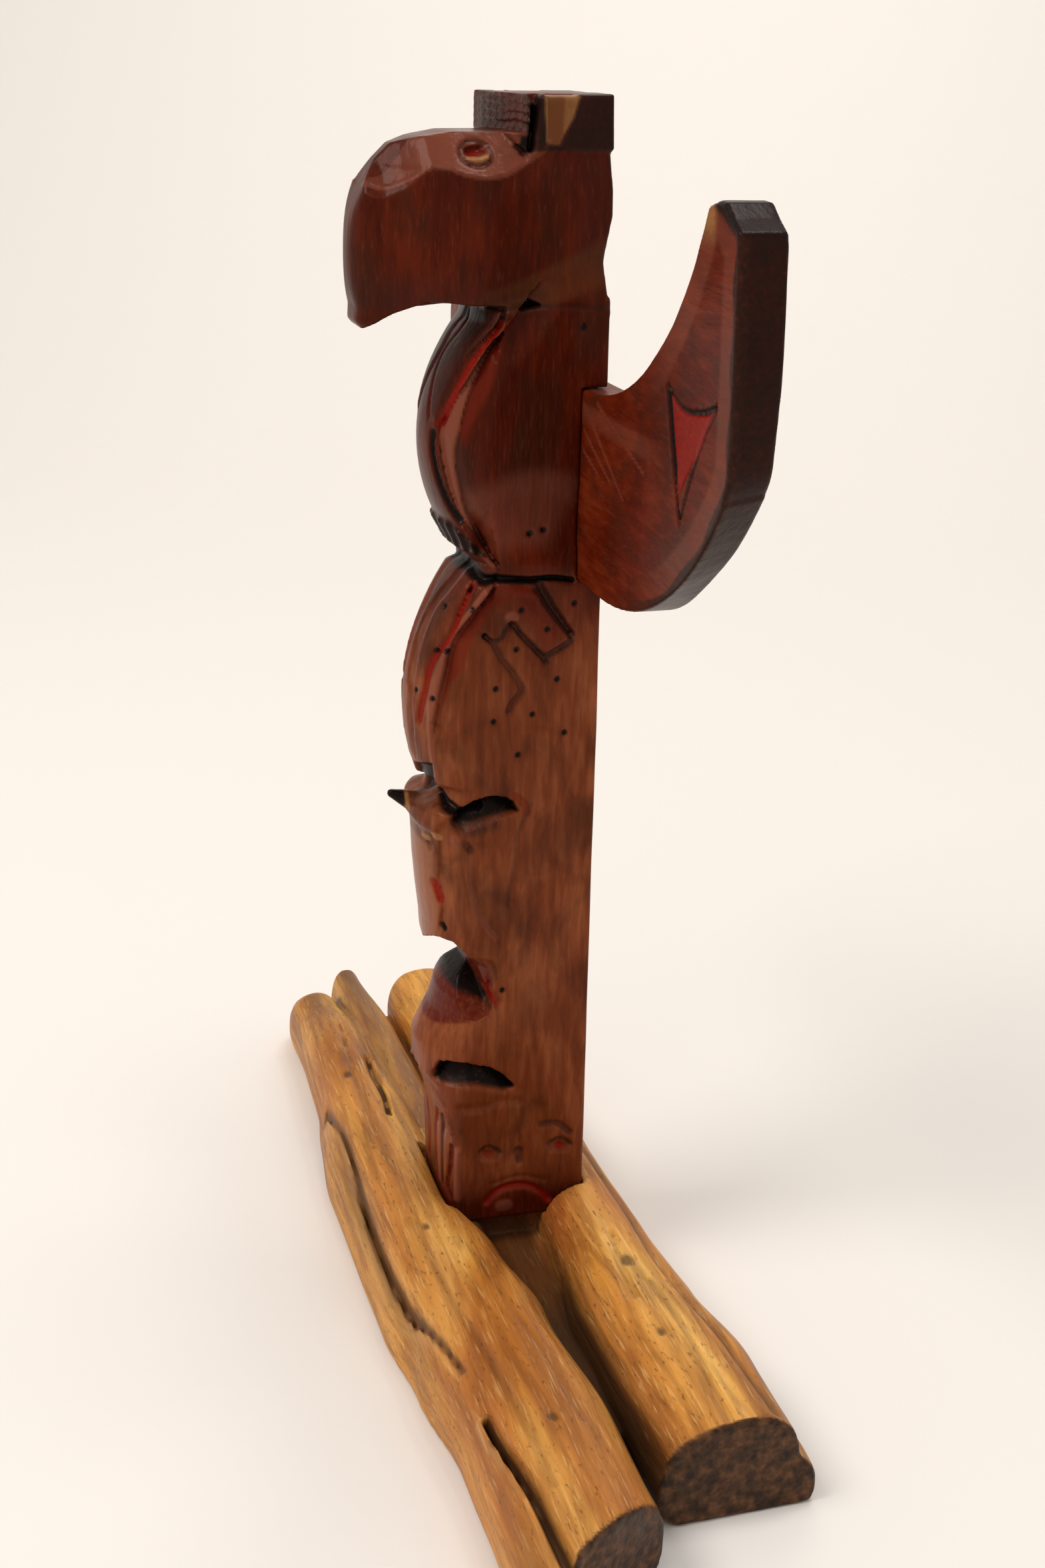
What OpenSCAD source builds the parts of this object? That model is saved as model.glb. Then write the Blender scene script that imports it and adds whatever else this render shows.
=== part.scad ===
// Carved wooden totem figure: a hook-beaked bird with spread wings above two
// stacked faces, cut from one stick and fastened on a piece of driftwood.
// The figure faces -Y, its wings and the driftwood lie along X, and +Z is up.
// The origin is on the resting plane, under the middle of the square stick.

/* [Pole] */
// Height of the carved pole, foot to crown
pole_h = 300; // [285:1:315]
// Side of the square stick that the pole is cut from
stick_w = 36.7; // [34:0.1:38]
// Height of the pole's foot above the resting plane
seat_z = 20; // [19:0.5:21]
// How far the beak reaches in front of the stick's middle
beak_reach = 44.5; // [42:0.5:46]
// Fall of the beak's tip below the throat line
beak_hook = 5; // [3:0.5:6]
// Depth of the carved hollows in the pole's flanks
hollow_depth = 4.5; // [3:0.5:5]

/* [Wings] */
// Distance from one wing's outer edge to the other's
wing_span = 237; // [225:1:245]
// Thickness of the wing board
wing_t = 10.7; // [9.5:0.1:11]
// Distance from the board's lower edge up to the wing tips
wing_h = 98.5; // [92:0.5:100]
// Height of the board's narrow middle, where it crosses the pole
wing_waist = 46.5; // [44:0.5:48]
// Depth of the slot across the pole's back that the board sits in
slot_depth = 6.5; // [5:0.1:7]

/* [Driftwood base] */
// Height of the driftwood's two main limbs at their crowns
limb_crown = 29; // [27:0.5:30]
// Overall scale of the driftwood's width
limb_width_scale = 1; // [0.95:0.01:1.04]
// Turn of the saw cut across the front limb's end, seen from above
saw_angle = 32; // [25:1:40]
// Where the saw cuts cross the front limb and the back limb
front_saw_x = 158; // [150:1:162]
back_saw_x = 130; // [124:1:134]

/* [Screws] */
// Shank diameter of the two wing screws
wing_screw_d = 3.5; // [3:0.1:3.6]
// Length of the wing screws
wing_screw_l = 25; // [22:1:26]
// Shank diameter of the two base screws
base_screw_d = 4.2; // [4:0.1:4.6]
// Length of the base screws
base_screw_l = 38; // [34:1:40]

/* [Hidden] */
$fn = 64;
eps = 0.01;
wood_red = [0.36, 0.13, 0.09];
wing_red = [0.42, 0.17, 0.11];
drift_tan = [0.70, 0.47, 0.24];
steel = [0.62, 0.60, 0.55];

half_w = stick_w / 2;
pole_back = 18;
k = pole_h / 300;                 // every height on the pole grows with it

// ---- small helpers -------------------------------------------------------

// Points on an arc about c, from angle a0 to a1 (degrees), in n steps.
function arc(c, r, a0, a1, n) =
    [for (i = [0:n]) let (a = a0 + (a1 - a0) * i / n) c + r * [cos(a), sin(a)]];

function mirror_x(points) = [for (i = [len(points) - 1:-1:0]) [-points[i][0], points[i][1]]];

// Value of column c at x, eased between the stations (rows that start with x).
function station(rows, x, c, i = 0) =
    i >= len(rows) - 2 || x <= rows[i + 1][0]
        ? let (t = max(0, min(1, (x - rows[i][0]) / (rows[i + 1][0] - rows[i][0]))))
          rows[i][c] + (rows[i + 1][c] - rows[i][c]) * t * t * (3 - 2 * t)
        : station(rows, x, c, i + 1);

// Extrudes a side outline given as [depth to the front, height] across X.
module across_x(points, width) {
    rotate([90, 0, -90])
        translate([0, 0, -width / 2])
            linear_extrude(width)
                polygon(points);
}

// ---- the pole ------------------------------------------------------------
// Side outlines are [depth, height]: depth is measured from the stick's middle
// towards the front (-Y), height from the pole's foot.

neck_z = 250 * k;
hat_z = 290 * k;
hat_depth = 6.4;
crown_depth = 24;
slot_low = 183 * k;
slot_high = slot_low + wing_waist + 2;
slot_face = pole_back - slot_depth;
hat_turn = 8;                     // the hat's front face is cut askew by this angle
hat_reach = hat_depth + half_w * tan(hat_turn);
foot_depth = 20.6;                // at the very bottom of the pole
nose_depth = 21.4;                // at the height nose_z
nose_z = 27.5 * k;

breast_c = [-18.3, 216.8 * k];
breast_r = 43.8;
belly_c = [-27.6, 147.7 * k];
belly_r = 57;
beak_c = [beak_reach - 38.3, 262 * k];
beak_r = 38.3;

function lower_face() = [
    [foot_depth, 0], [nose_depth, nose_z],                // nose of the lowest face
    [24.4, 39.5 * k], [26.4, 43 * k], [26.8, 51.3 * k],   // lip
    [22.3, 60 * k], [17, 70.8 * k], [13.4, 75 * k],       // floor of the open mouth
    [17.5, 80 * k], [23.4, 79.9 * k],                     // under the long nose
    [25.7, 95 * k], [27.1, 115.3 * k],                    // front of the long nose
    [31.4, 122 * k], [27.7, 121.4 * k]                    // claw that rests on it
];

function body_outline() = concat(
    [[-pole_back, 0]],
    lower_face(),
    arc(belly_c, belly_r, -23.5, 42.4, 16),
    [[18.4, 190.6 * k], [18.6, 193.9 * k]],               // talons
    arc(breast_c, breast_r, -28.9, 43, 16),
    [[13.7, neck_z + 2], [-pole_back, neck_z + 2]]
);

function head_outline() = concat(
    [[-pole_back, neck_z], [28.5, neck_z], [35, neck_z - beak_hook / 3], [beak_reach - 3.3, neck_z - beak_hook]],
    arc(beak_c, beak_r, -20, 38, 14),
    [[crown_depth, hat_z - 0.6 * k], [hat_reach, hat_z]],
    [[hat_reach, pole_h], [-pole_back + 0.6, pole_h]],
    arc([-pole_back - 45, 261 * k], 46.3, 13, -13, 8)     // dip behind the neck
);

// Seen from above: flat flanks and a half-round front.
module body_plan() {
    front_c = half_w - 31.8;
    translate([-half_w, front_c])
        square([stick_w, pole_back - front_c]);
    translate([0, front_c])
        circle(r = half_w, $fn = 96);
}

// Seen from above: the head narrows towards a blunt, rounded beak.
module head_plan() {
    tip_r = 9.5;
    cheek_y = -13;
    tip_c = [0, tip_r - beak_reach];
    polygon(concat(
        [[-half_w, pole_back], [-half_w, cheek_y]],
        arc(tip_c, tip_r, 190, 350, 20),
        [[half_w, cheek_y], [half_w, pole_back]]
    ));
}

// A crescent hollow in both flanks: flat below, arched above.
module flank_hollow(depth, height, length, rise) {
    r = (length * length / 4 + rise * rise) / (2 * rise);
    half_a = asin(length / 2 / r);
    for (side = [-1, 1])
        translate([side * (half_w - hollow_depth / 2), 0, 0])
            across_x(arc([depth, height + rise - r], r, 90 - half_a, 90 + half_a, 12), hollow_depth + 2 * eps);
}

// What the askew cut takes off the hat's front.
module hat_cut() {
    translate([0, -hat_depth, hat_z])
        rotate([0, 0, hat_turn])
            translate([-stick_w, -stick_w, 0])
                cube([2 * stick_w, stick_w, pole_h]);
}

// The recess around each eye of the bird.
module bird_eyes() {
    for (side = [-1, 1])
        translate([side * half_w, -16.5, 287.3 * k])
            rotate([0, 90, 0])
                cylinder(r = 3.2, h = 5, center = true);
}

module screw_holes(d, l, places, direction) {
    for (p = places)
        translate(p)
            rotate(direction)
                cylinder(d = d, h = l);
}

module pole() {
    color(wood_red)
        translate([0, 0, seat_z])
            difference() {
                union() {
                    intersection() {
                        across_x(body_outline(), stick_w + 2);
                        linear_extrude(pole_h)
                            body_plan();
                    }
                    intersection() {
                        across_x(head_outline(), stick_w + 2);
                        linear_extrude(pole_h + 1)
                            head_plan();
                    }
                }
                translate([-stick_w, slot_face, slot_low])
                    cube([2 * stick_w, slot_depth + 1, slot_high - slot_low]);
                flank_hollow(13, 117.5 * k, 19, 8.5);
                flank_hollow(14, 41 * k, 22, 9.5);
                bird_eyes();
                hat_cut();
                translate([0, 0, -seat_z])
                    screw_holes(base_screw_d, base_screw_l, base_screw_places, [0, 0, 0]);
                translate([0, 0, -seat_z])
                    screw_holes(wing_screw_d, wing_screw_l, wing_screw_places, [90, 0, 0]);
            }
}

// ---- the wing board --------------------------------------------------------
// One board that crosses the pole's back. Its outline is [x, height above its
// lower edge], made for +X and mirrored.

wing_base_z = seat_z + slot_low + 0.5;
wing_back = slot_face + wing_t;
wing_half = wing_span / 2;
lower_r = 100;
corner_r = 14;
lower_c = [wing_half - 82.5, lower_r];
corner_x = wing_half - corner_r;
corner_c = [corner_x, lower_r - sqrt(pow(lower_r - corner_r, 2) - pow(corner_x - lower_c[0], 2))];
corner_a = -atan2(lower_c[1] - corner_c[1], corner_x - lower_c[0]);
upper_r = 88;
upper_c = [20, wing_waist + 1 + upper_r];
upper_a = -asin((upper_c[1] - wing_h) / upper_r);

function half_wing() = concat(
    arc(lower_c, lower_r, -90, corner_a, 16),
    arc(corner_c, corner_r, corner_a, 0, 6),
    [[wing_half, 66], [wing_half - 1.5, wing_h - 5]],                 // outer edge
    [[wing_half - 6, wing_h - 2], [wing_half - 10, wing_h + 0.5]],    // chipped tip
    arc(upper_c, upper_r, upper_a, -90, 16),
    [[half_w, wing_waist]]
);

module wing_board() {
    outline = concat(half_wing(), mirror_x(half_wing()));
    color(wing_red)
        difference() {
            translate([0, wing_back, wing_base_z])
                rotate([90, 0, 0])
                    linear_extrude(wing_t)
                        polygon(outline);
            screw_holes(wing_screw_d, wing_screw_l, wing_screw_places, [90, 0, 0]);
            for (p = wing_screw_places)
                translate(p)
                    rotate([90, 0, 0])
                        screw_head(wing_screw_d);
        }
}

// ---- the driftwood -----------------------------------------------------------
// Each limb is a closed form along X. A station is [x, middle y, half width,
// crown height]; every section is a rounded oval that reaches below the resting
// plane, and one flat cut takes off all that is under it.

front_limb = [
    [-147, -34, 4.5, 15], [-129, -31.5, 8.5, 24], [-90, -29, 11.5, 26.5], [-40, -28, 14, 27.5],
    [10, -29, 12.5, 27.5], [36, -25.5, 15.5, 28], [64, -22.5, 17.5, 28], [110, -19.5, 18, 27.5], [175, -19.5, 18.5, 27]
];
middle_limb = [
    [-152, -18, 3, 19], [-144, -18, 5.5, 25], [-100, -17, 8.5, 26], [-60, -16, 8.5, 25], [-20, -15, 6, 20]
];
back_limb = [
    [-146, 6, 8, 20], [-134, 8, 13, 26], [-90, 12, 17, 27], [-40, 14.5, 16, 28], [10, 18.7, 12.3, 29],
    [40, 18.5, 13.8, 28.5], [70, 17.7, 16.6, 28], [100, 20.2, 19, 28.5], [140, 21, 18, 27.5]
];
outer_strand = [
    [-72, -38.5, 3, 10], [-30, -41, 4.2, 16], [10, -41, 4, 15.5], [40, -40.5, 4, 15], [70, -37.5, 4, 14],
    [100, -33.7, 4.2, 15], [130, -33, 4.7, 18], [175, -33.5, 5.2, 18]
];
bark_lobe = [
    [62, 32, 3, 7], [96, 35, 7, 13], [118, 36, 8, 14], [140, 35, 7.5, 14]
];
front_saw_y = -21;                // the front limb's middle, where the saw cuts it
web_top = 12;
web_x = [-130, 108];
saddle_top = 22;                  // the heartwood under the pole's foot, before the seat is cut
saddle_x = [-32, 14];
saddle_y = [-27, 17];
buried = 3;                       // how far each limb goes below the resting plane

// One section: n points on a soft-cornered oval at x.
function limb_ring(rows, x, n) =
    let (
        yc = station(rows, x, 1),
        a = station(rows, x, 2) * limb_width_scale,
        top = station(rows, x, 3) * limb_crown / 29,
        zc = (top - buried) / 2,
        b = (top + buried) / 2
    )
    [for (i = [0:n - 1]) let (t = 360 * i / n, s = sin(t), c = cos(t))
        [x, yc + a * sign(c) * pow(abs(c), 0.85), zc + b * sign(s) * pow(abs(s), 0.85)]];

module limb(rows, step, n) {
    x0 = rows[0][0];
    x1 = rows[len(rows) - 1][0];
    rings = ceil((x1 - x0) / step);
    points = [for (i = [0:rings]) each limb_ring(rows, x0 + (x1 - x0) * i / rings, n)];
    walls = [for (i = [0:rings - 1], j = [0:n - 1])
        let (a = i * n + j, b = i * n + (j + 1) % n)
        each [[a, a + n, b], [b, a + n, b + n]]];
    first = [for (j = [0:n - 1]) j];
    last = [for (j = [n - 1:-1:0]) rings * n + j];
    polyhedron(points, concat([first], walls, [last]), convexity = 6);
}

// The heartwood that joins the limbs, and the floor of the cleft between them.
module web() {
    translate([0, 0, -buried])
        linear_extrude(web_top + buried)
            polygon([
                [web_x[0], -26], [web_x[0] + 20, -32], [web_x[1] - 36, -22], [web_x[1], -12],
                [web_x[1], 2], [web_x[1] - 36, 12], [web_x[0] + 20, 14], [web_x[0], 4]
            ]);
    translate([saddle_x[0], saddle_y[0], -buried])
        cube([saddle_x[1] - saddle_x[0], saddle_y[1] - saddle_y[0], saddle_top + buried]);
}

// Cuts its children off beyond an upright saw cut through [x, y].
module sawn(x, y, angle) {
    difference() {
        children();
        translate([x, y, -2 * buried])
            rotate([0, 0, angle])
                translate([0, -150, 0])
                    cube([150, 300, 60]);
    }
}

// The seat: a shallow flat cut that takes the pole's foot, with a little room.
module pole_seat() {
    room = 0.4;
    depth = limb_crown - seat_z;
    front = foot_depth + (nose_depth - foot_depth) * depth / nose_z + room;
    translate([-half_w - room, -front, seat_z])
        cube([stick_w + 2 * room, front + pole_back + room, 2 * depth]);
}

module driftwood_base() {
    color(drift_tan)
        difference() {
            union() {
                sawn(front_saw_x, front_saw_y, saw_angle) {
                    limb(front_limb, 11, 20);
                    limb(outer_strand, 13, 10);
                }
                sawn(back_saw_x, 0, 0) {
                    limb(back_limb, 11, 20);
                    limb(bark_lobe, 12, 10);
                }
                limb(middle_limb, 11, 12);
                web();
            }
            translate([-250, -150, -50])
                cube([500, 300, 50]);
            pole_seat();
            screw_holes(base_screw_d, base_screw_l, base_screw_places, [0, 0, 0]);
            for (p = base_screw_places)
                translate(p)
                    screw_head(base_screw_d);
        }
}

// ---- screws --------------------------------------------------------------------
// A countersunk wood screw points along +Z, with its head's face at the start.

base_screw_places = [[0, -12, 1], [0, 9, 1]];
wing_screw_places = [for (dz = [13, 35]) [0, wing_back - 0.5, wing_base_z + dz]];
tip_l = 5;

// The countersunk head, 1.9 shanks wide, and the clear way out behind it.
module screw_head(d) {
    cylinder(r1 = 0.95 * d, r2 = d / 2, h = 0.5 * d);
    translate([0, 0, -5])
        cylinder(r = 0.95 * d, h = 5);
}

module wood_screw(d, l) {
    slot_w = 0.25 * d;
    difference() {
        rotate_extrude()
            polygon([[0, 0], [0.95 * d, 0], [d / 2, 0.5 * d], [d / 2, l - tip_l], [0.2, l - eps], [0, l - eps]]);
        translate([-d, -slot_w / 2, -1])
            cube([2 * d, slot_w, 1 + 0.2 * d]);
    }
}

module wing_screws() {
    color(steel)
        for (p = wing_screw_places)
            translate(p)
                rotate([90, 0, 0])
                    wood_screw(wing_screw_d, wing_screw_l);
}

module base_screws() {
    color(steel)
        for (p = base_screw_places)
            translate(p)
                wood_screw(base_screw_d, base_screw_l);
}

pole();
wing_board();
driftwood_base();
wing_screws();
base_screws();
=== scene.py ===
"""Looks for the carved totem figure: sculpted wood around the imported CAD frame.

The three wooden pieces are carved as signed distance fields in millimetres, on an
even grid, and meshed once. The pole's carving is laid out on its skin: w runs from
its back edge (w > 0) along the flank and round to the middle of the front (about
w = -36), and h is the height above its foot. Both sides share one layout, and every
cut leaves its paint at the same place, so paint and cut always agree.
"""
import math

import bpy
import numpy as np
import openvdb as vdb
from mathutils import Matrix, Vector


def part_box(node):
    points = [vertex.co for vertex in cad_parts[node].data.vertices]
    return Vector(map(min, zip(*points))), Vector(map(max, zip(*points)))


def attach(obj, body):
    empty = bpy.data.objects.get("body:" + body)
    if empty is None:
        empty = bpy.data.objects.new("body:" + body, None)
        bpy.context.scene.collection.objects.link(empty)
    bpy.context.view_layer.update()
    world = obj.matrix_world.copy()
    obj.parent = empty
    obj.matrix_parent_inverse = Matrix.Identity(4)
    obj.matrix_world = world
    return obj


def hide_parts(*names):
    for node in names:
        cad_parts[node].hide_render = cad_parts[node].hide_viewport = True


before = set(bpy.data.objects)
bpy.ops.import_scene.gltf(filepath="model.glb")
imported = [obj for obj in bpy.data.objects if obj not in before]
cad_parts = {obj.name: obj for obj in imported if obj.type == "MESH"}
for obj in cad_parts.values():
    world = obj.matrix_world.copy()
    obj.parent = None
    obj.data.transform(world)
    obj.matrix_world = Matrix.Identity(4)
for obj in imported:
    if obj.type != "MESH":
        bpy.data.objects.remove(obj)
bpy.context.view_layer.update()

MM = 0.001
POLE_BOX = [np.array(corner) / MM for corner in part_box("pole")]
WING_BOX = [np.array(corner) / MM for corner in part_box("wing_board")]
BASE_BOX = [np.array(corner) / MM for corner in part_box("driftwood_base")]

SEAT_Z = POLE_BOX[0][2]
POLE_H = POLE_BOX[1][2] - SEAT_Z
HALF_W = POLE_BOX[1][0]
POLE_BACK = POLE_BOX[1][1]
WING_FACE = WING_BOX[0][1]
WING_BASE = WING_BOX[0][2]


# ---- distance field toolkit ------------------------------------------------------

def smoothstep(low, high, value):
    t = np.clip((value - low) / (high - low), 0.0, 1.0)
    return t * t * (3.0 - 2.0 * t)


def smooth_max(a, b, radius):
    """The higher of two fields, with the edge between them rounded."""
    h = np.maximum(radius - np.abs(a - b), 0.0) / radius
    return np.maximum(a, b) + h * h * radius * 0.25


def smooth_min(a, b, radius):
    return -smooth_max(-a, -b, radius)


def arc(centre, radius, start, end, steps):
    """Points on an arc, angles in degrees, as in the CAD source."""
    angles = np.radians(np.linspace(start, end, steps + 1))
    return [(centre[0] + radius * math.cos(a), centre[1] + radius * math.sin(a)) for a in angles]


def line_at(points, u):
    """The height of a line of (u, v) points at u."""
    ordered = sorted(points)
    return np.interp(u, [p[0] for p in ordered], [p[1] for p in ordered])


def outline_distance(points, u, v):
    """Signed distance to a closed outline in the plane, negative inside."""
    best = np.full(np.broadcast(u, v).shape, 1e9, np.float32)
    inside = np.zeros(best.shape, bool)
    for (au, av), (bu, bv) in zip(points, points[1:] + points[:1]):
        eu, ev = bu - au, bv - av
        wu, wv = u - au, v - av
        t = np.clip((wu * eu + wv * ev) / (eu * eu + ev * ev + 1e-9), 0.0, 1.0)
        best = np.minimum(best, (wu - t * eu) ** 2 + (wv - t * ev) ** 2)
        if ev != 0.0:
            crosses = (av > v) != (bv > v)
            inside ^= crosses & (u < au + (v - av) * eu / ev)
    root = np.sqrt(best)
    return np.where(inside, -root, root)


def stroke_distance(points, widths, *coords):
    """Distance to a polyline over its half width there, so 1 is the stroke's edge."""
    best = None
    count = len(points) - 1
    for i in range(count):
        start, end = np.array(points[i], float), np.array(points[i + 1], float)
        edge = end - start
        along = sum((c - s) * e for c, s, e in zip(coords, start, edge)) / (edge @ edge + 1e-9)
        along = np.clip(along, 0.0, 1.0)
        gap = np.sqrt(sum((c - s - along * e) ** 2 for c, s, e in zip(coords, start, edge)))
        width = widths[0] + (widths[1] - widths[0]) * (i + along) / count
        ratio = gap / width
        best = ratio if best is None else np.minimum(best, ratio)
    return best


def side_distance(points, u, v):
    """Distance to a polyline, positive to the right of its direction."""
    best = np.full(np.shape(u), 1e9)
    signed = np.full(np.shape(u), 1e9)
    for (au, av), (bu, bv) in zip(points, points[1:]):
        eu, ev = bu - au, bv - av
        t = np.clip(((u - au) * eu + (v - av) * ev) / (eu * eu + ev * ev + 1e-9), 0.0, 1.0)
        gap = np.hypot(u - au - t * eu, v - av - t * ev)
        right = (u - au) * ev - (v - av) * eu
        nearer = gap < best
        best = np.where(nearer, gap, best)
        signed = np.where(nearer, np.where(right > 0, gap, -gap), signed)
    return signed


def spline(points, steps=4):
    """A smooth path through the points (Catmull-Rom)."""
    p = [np.array(q, float) for q in points]
    p = [2 * p[0] - p[1]] + p + [2 * p[-1] - p[-2]]
    path = []
    for i in range(1, len(p) - 2):
        for s in range(steps):
            t = s / steps
            path.append(tuple(0.5 * (2 * p[i] + (p[i + 1] - p[i - 1]) * t
                                     + (2 * p[i - 1] - 5 * p[i] + 4 * p[i + 1] - p[i + 2]) * t * t
                                     + (3 * p[i] - p[i - 1] - 3 * p[i + 1] + p[i + 2]) * t ** 3)))
    path.append(tuple(p[-2]))
    return path


def lattice_noise(shape, cell, spacing, seed):
    """Smooth random relief in -1..1 on the grid; spacing is its grain in mm on each axis."""
    rng = np.random.default_rng(seed)
    spans = [max(2, int(n * cell / s) + 4) for n, s in zip(shape, spacing)]
    values = rng.uniform(-1.0, 1.0, spans).astype(np.float32)
    for axis, (n, s) in enumerate(zip(shape, spacing)):
        place = np.arange(n) * cell / s + 1.0
        low = place.astype(int)
        t = (place - low).astype(np.float32)
        weights = ((1 - t) ** 3 / 6, (3 * t ** 3 - 6 * t * t + 4) / 6,
                   (-3 * t ** 3 + 3 * t * t + 3 * t + 1) / 6, t ** 3 / 6)
        last = values.shape[axis] - 1
        layers = [np.take(values, np.clip(low + k - 1, 0, last), axis=axis) for k in range(4)]
        form = [1, 1, 1]
        form[axis] = n
        values = sum(w.reshape(form) * layer for w, layer in zip(weights, layers))
    return values


class Carving:
    """A block being carved: a distance field, and the paint that its features leave."""

    def __init__(self, low, high, cell):
        margin = 3 * cell
        self.cell = cell
        self.low = np.array(low, float) - margin
        shape = np.ceil((np.array(high, float) + margin - self.low) / cell).astype(int) + 1
        axes = [(self.low[i] + cell * np.arange(shape[i])).astype(np.float32) for i in range(3)]
        self.shape = tuple(shape)
        self.x = axes[0][:, None, None]
        self.y = axes[1][None, :, None]
        self.z = axes[2][None, None, :]
        self.field = np.full(self.shape, 50.0, np.float32)
        self.paints = []
        self.skin = None

    def window(self, low, high):
        """The slice of the grid between two corners, and its coordinates."""
        first = np.clip(((np.array(low) - self.low) / self.cell).astype(int), 0, np.array(self.shape) - 1)
        last = np.clip(((np.array(high) - self.low) / self.cell).astype(int) + 2, 1, np.array(self.shape))
        cut = tuple(slice(a, b) for a, b in zip(first, last))
        return cut, self.x[cut[0]], self.y[:, cut[1]], self.z[:, :, cut[2]]

    def cut(self, shape, low, high, radius=0.6):
        """Takes the shape away from the block."""
        part, x, y, z = self.window(low, high)
        self.field[part] = smooth_max(self.field[part], -shape(x, y, z), radius)

    def join(self, shape, low, high, radius=1.5):
        """Adds the shape to the block."""
        part, x, y, z = self.window(low, high)
        self.field[part] = smooth_min(self.field[part], shape(x, y, z), radius)

    def sink(self, relief, low, high):
        """Lowers the surface by the relief (mm), or raises it where that is negative."""
        part, x, y, z = self.window(low, high)
        self.field[part] += relief(x, y, z)

    def roughen(self, height, spacing, seed):
        """Adds smooth random relief of about this height (mm)."""
        self.field += height * lattice_noise(self.shape, self.cell, spacing, seed)

    def paint(self, name, weight):
        """Paints the surface by weight(x, y, z)."""
        self.paints.append((name, weight))

    def lay_skin(self, layout, reach=6.5):
        """Finds the cells near the surface and their place on the skin."""
        near = np.nonzero(np.abs(self.field) < reach)
        order = np.argsort(near[2], kind="stable")
        self.near = tuple(axis[order] for axis in near)
        x, y, z = (self.low[i] + self.cell * self.near[i] for i in range(3))
        self.skin = layout
        self.w, self.h = layout(x, y, z)
        self.across = np.abs(x)

    def relief(self, shape, low, high, beyond=0.0):
        """Sinks the skin by shape(w, h) mm, between two corners and farther out than beyond."""
        first, last = np.searchsorted(self.h, (low[1], high[1]))
        w, h = self.w[first:last], self.h[first:last]
        inside = (w > low[0]) & (w < high[0]) & (self.across[first:last] >= beyond)
        cells = tuple(axis[first:last][inside] for axis in self.near)
        self.field[cells] += shape(w[inside], h[inside]).astype(np.float32)

    def tint(self, name, weight, beyond=0.0):
        """Paints the skin by weight(w, h), farther out than beyond."""
        def on_skin(x, y, z):
            w, h = self.skin(x, y, z)
            return weight(w, h) * (np.abs(x) >= beyond)
        self.paints.append((name, on_skin))

    def sample(self, points):
        """The field at any points, between grid values."""
        place = (points - self.low) / self.cell
        base = np.clip(place.astype(int), 0, np.array(self.shape) - 2)
        t = place - base
        total = 0.0
        for corner in np.ndindex(2, 2, 2):
            share = np.prod(np.where(np.array(corner) == 1, t, 1.0 - t), axis=1)
            i, j, k = (base + np.array(corner)).T
            total = total + share * self.field[i, j, k]
        return total

    def mesh(self, name):
        """Meshes the field, writes its paint, the wear of its ridges and a painted shade for its hollows as
        point attributes.
        """
        grid = vdb.FloatGrid(background=float(4 * self.cell))
        grid.copyFromArray(np.clip(self.field, -4 * self.cell, 4 * self.cell).astype(np.float32))
        points, triangles, quads = grid.convertToPolygons(isovalue=0.0, adaptivity=0.0)
        points = points.astype(float) * self.cell + self.low
        mesh = bpy.data.meshes.new(name)
        faces = [f[::-1] for f in quads.tolist()] + [f[::-1] for f in triangles.tolist()]
        mesh.from_pydata((points * MM).tolist(), [], faces)
        mesh.update()
        mesh.shade_smooth()
        normals = np.array([v.normal[:] for v in mesh.vertices])
        if self.sample(points[:200] + normals[:200] * self.cell).mean() < 0:
            mesh.flip_normals()
            normals = -normals
        x, y, z = points.T
        weights = {}
        for paint, weight in self.paints:
            value = np.broadcast_to(weight(x, y, z), x.shape)
            weights[paint] = np.maximum(weights.get(paint, 0.0), value)
        reach = 1.6
        # hollow measures how shut in a point is and becomes painted shade in creases; ridge measures how
        # exposed it is and becomes wear
        weights["hollow"] = np.clip(1.0 - self.sample(points + normals * reach) / reach, 0.0, 1.0)
        weights["ridge"] = np.clip(1.0 + self.sample(points - normals * reach) / reach, 0.0, 1.0)
        for paint, value in weights.items():
            layer = mesh.attributes.new(paint, "FLOAT", "POINT")
            layer.data.foreach_set("value", np.asarray(value, np.float32))
        piece = bpy.data.objects.new(name, mesh)
        bpy.context.scene.collection.objects.link(piece)
        return piece


# ---- the pole's rough shape ---------------------------------------------------------
# d is depth: how far in front of the stick's middle (-Y); h is height above the foot.

POLE_CELL = 0.55
BELLY_R = 57.0
BREAST_R = 43.8
BEAK_R = 38.3

PROFILE = (  # the front's depth against height, foot to throat
    [(20.6, 0.0), (21.4, 27.5), (22.8, 35.0), (24.4, 39.5), (26.4, 43.0), (26.9, 51.3), (25.0, 55.5),
     (22.3, 60.0), (20.6, 66.0), (17.0, 70.8), (13.4, 73.8), (12.8, 76.0), (14.5, 78.4), (18.0, 79.7),
     (24.2, 80.1), (24.5, 82.0), (24.8, 87.0), (25.9, 95.5), (26.7, 104.0), (27.1, 113.0), (27.6, 118.0),
     (27.0, 121.3), (23.6, 123.2), (22.6, 125.2), (23.2, 127.2)]
    + arc((-27.6, 147.7), BELLY_R, -19.5, 42.4, 20)
    + [(13.6, 187.2), (16.9, 189.6), (18.3, 192.6), (19.6, 194.8)]
    + arc((-18.3, 216.8), BREAST_R, -28.0, 43.0, 20)
    + [(13.0, 249.5), (12.6, 254.0)]
)

NECK_H = 250.0
HAT_H = 290.0
HAT_DEPTH = 6.4
HAT_SKEW = 0.14
BEAK_REACH = 44.4
SLOT_LOW = 183.0
SLOT_HIGH = SLOT_LOW + 48.5


def front_depth(h):
    """The front's depth at a height, from the side profile."""
    return np.interp(h, [p[1] for p in PROFILE], [p[0] for p in PROFILE])


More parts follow.
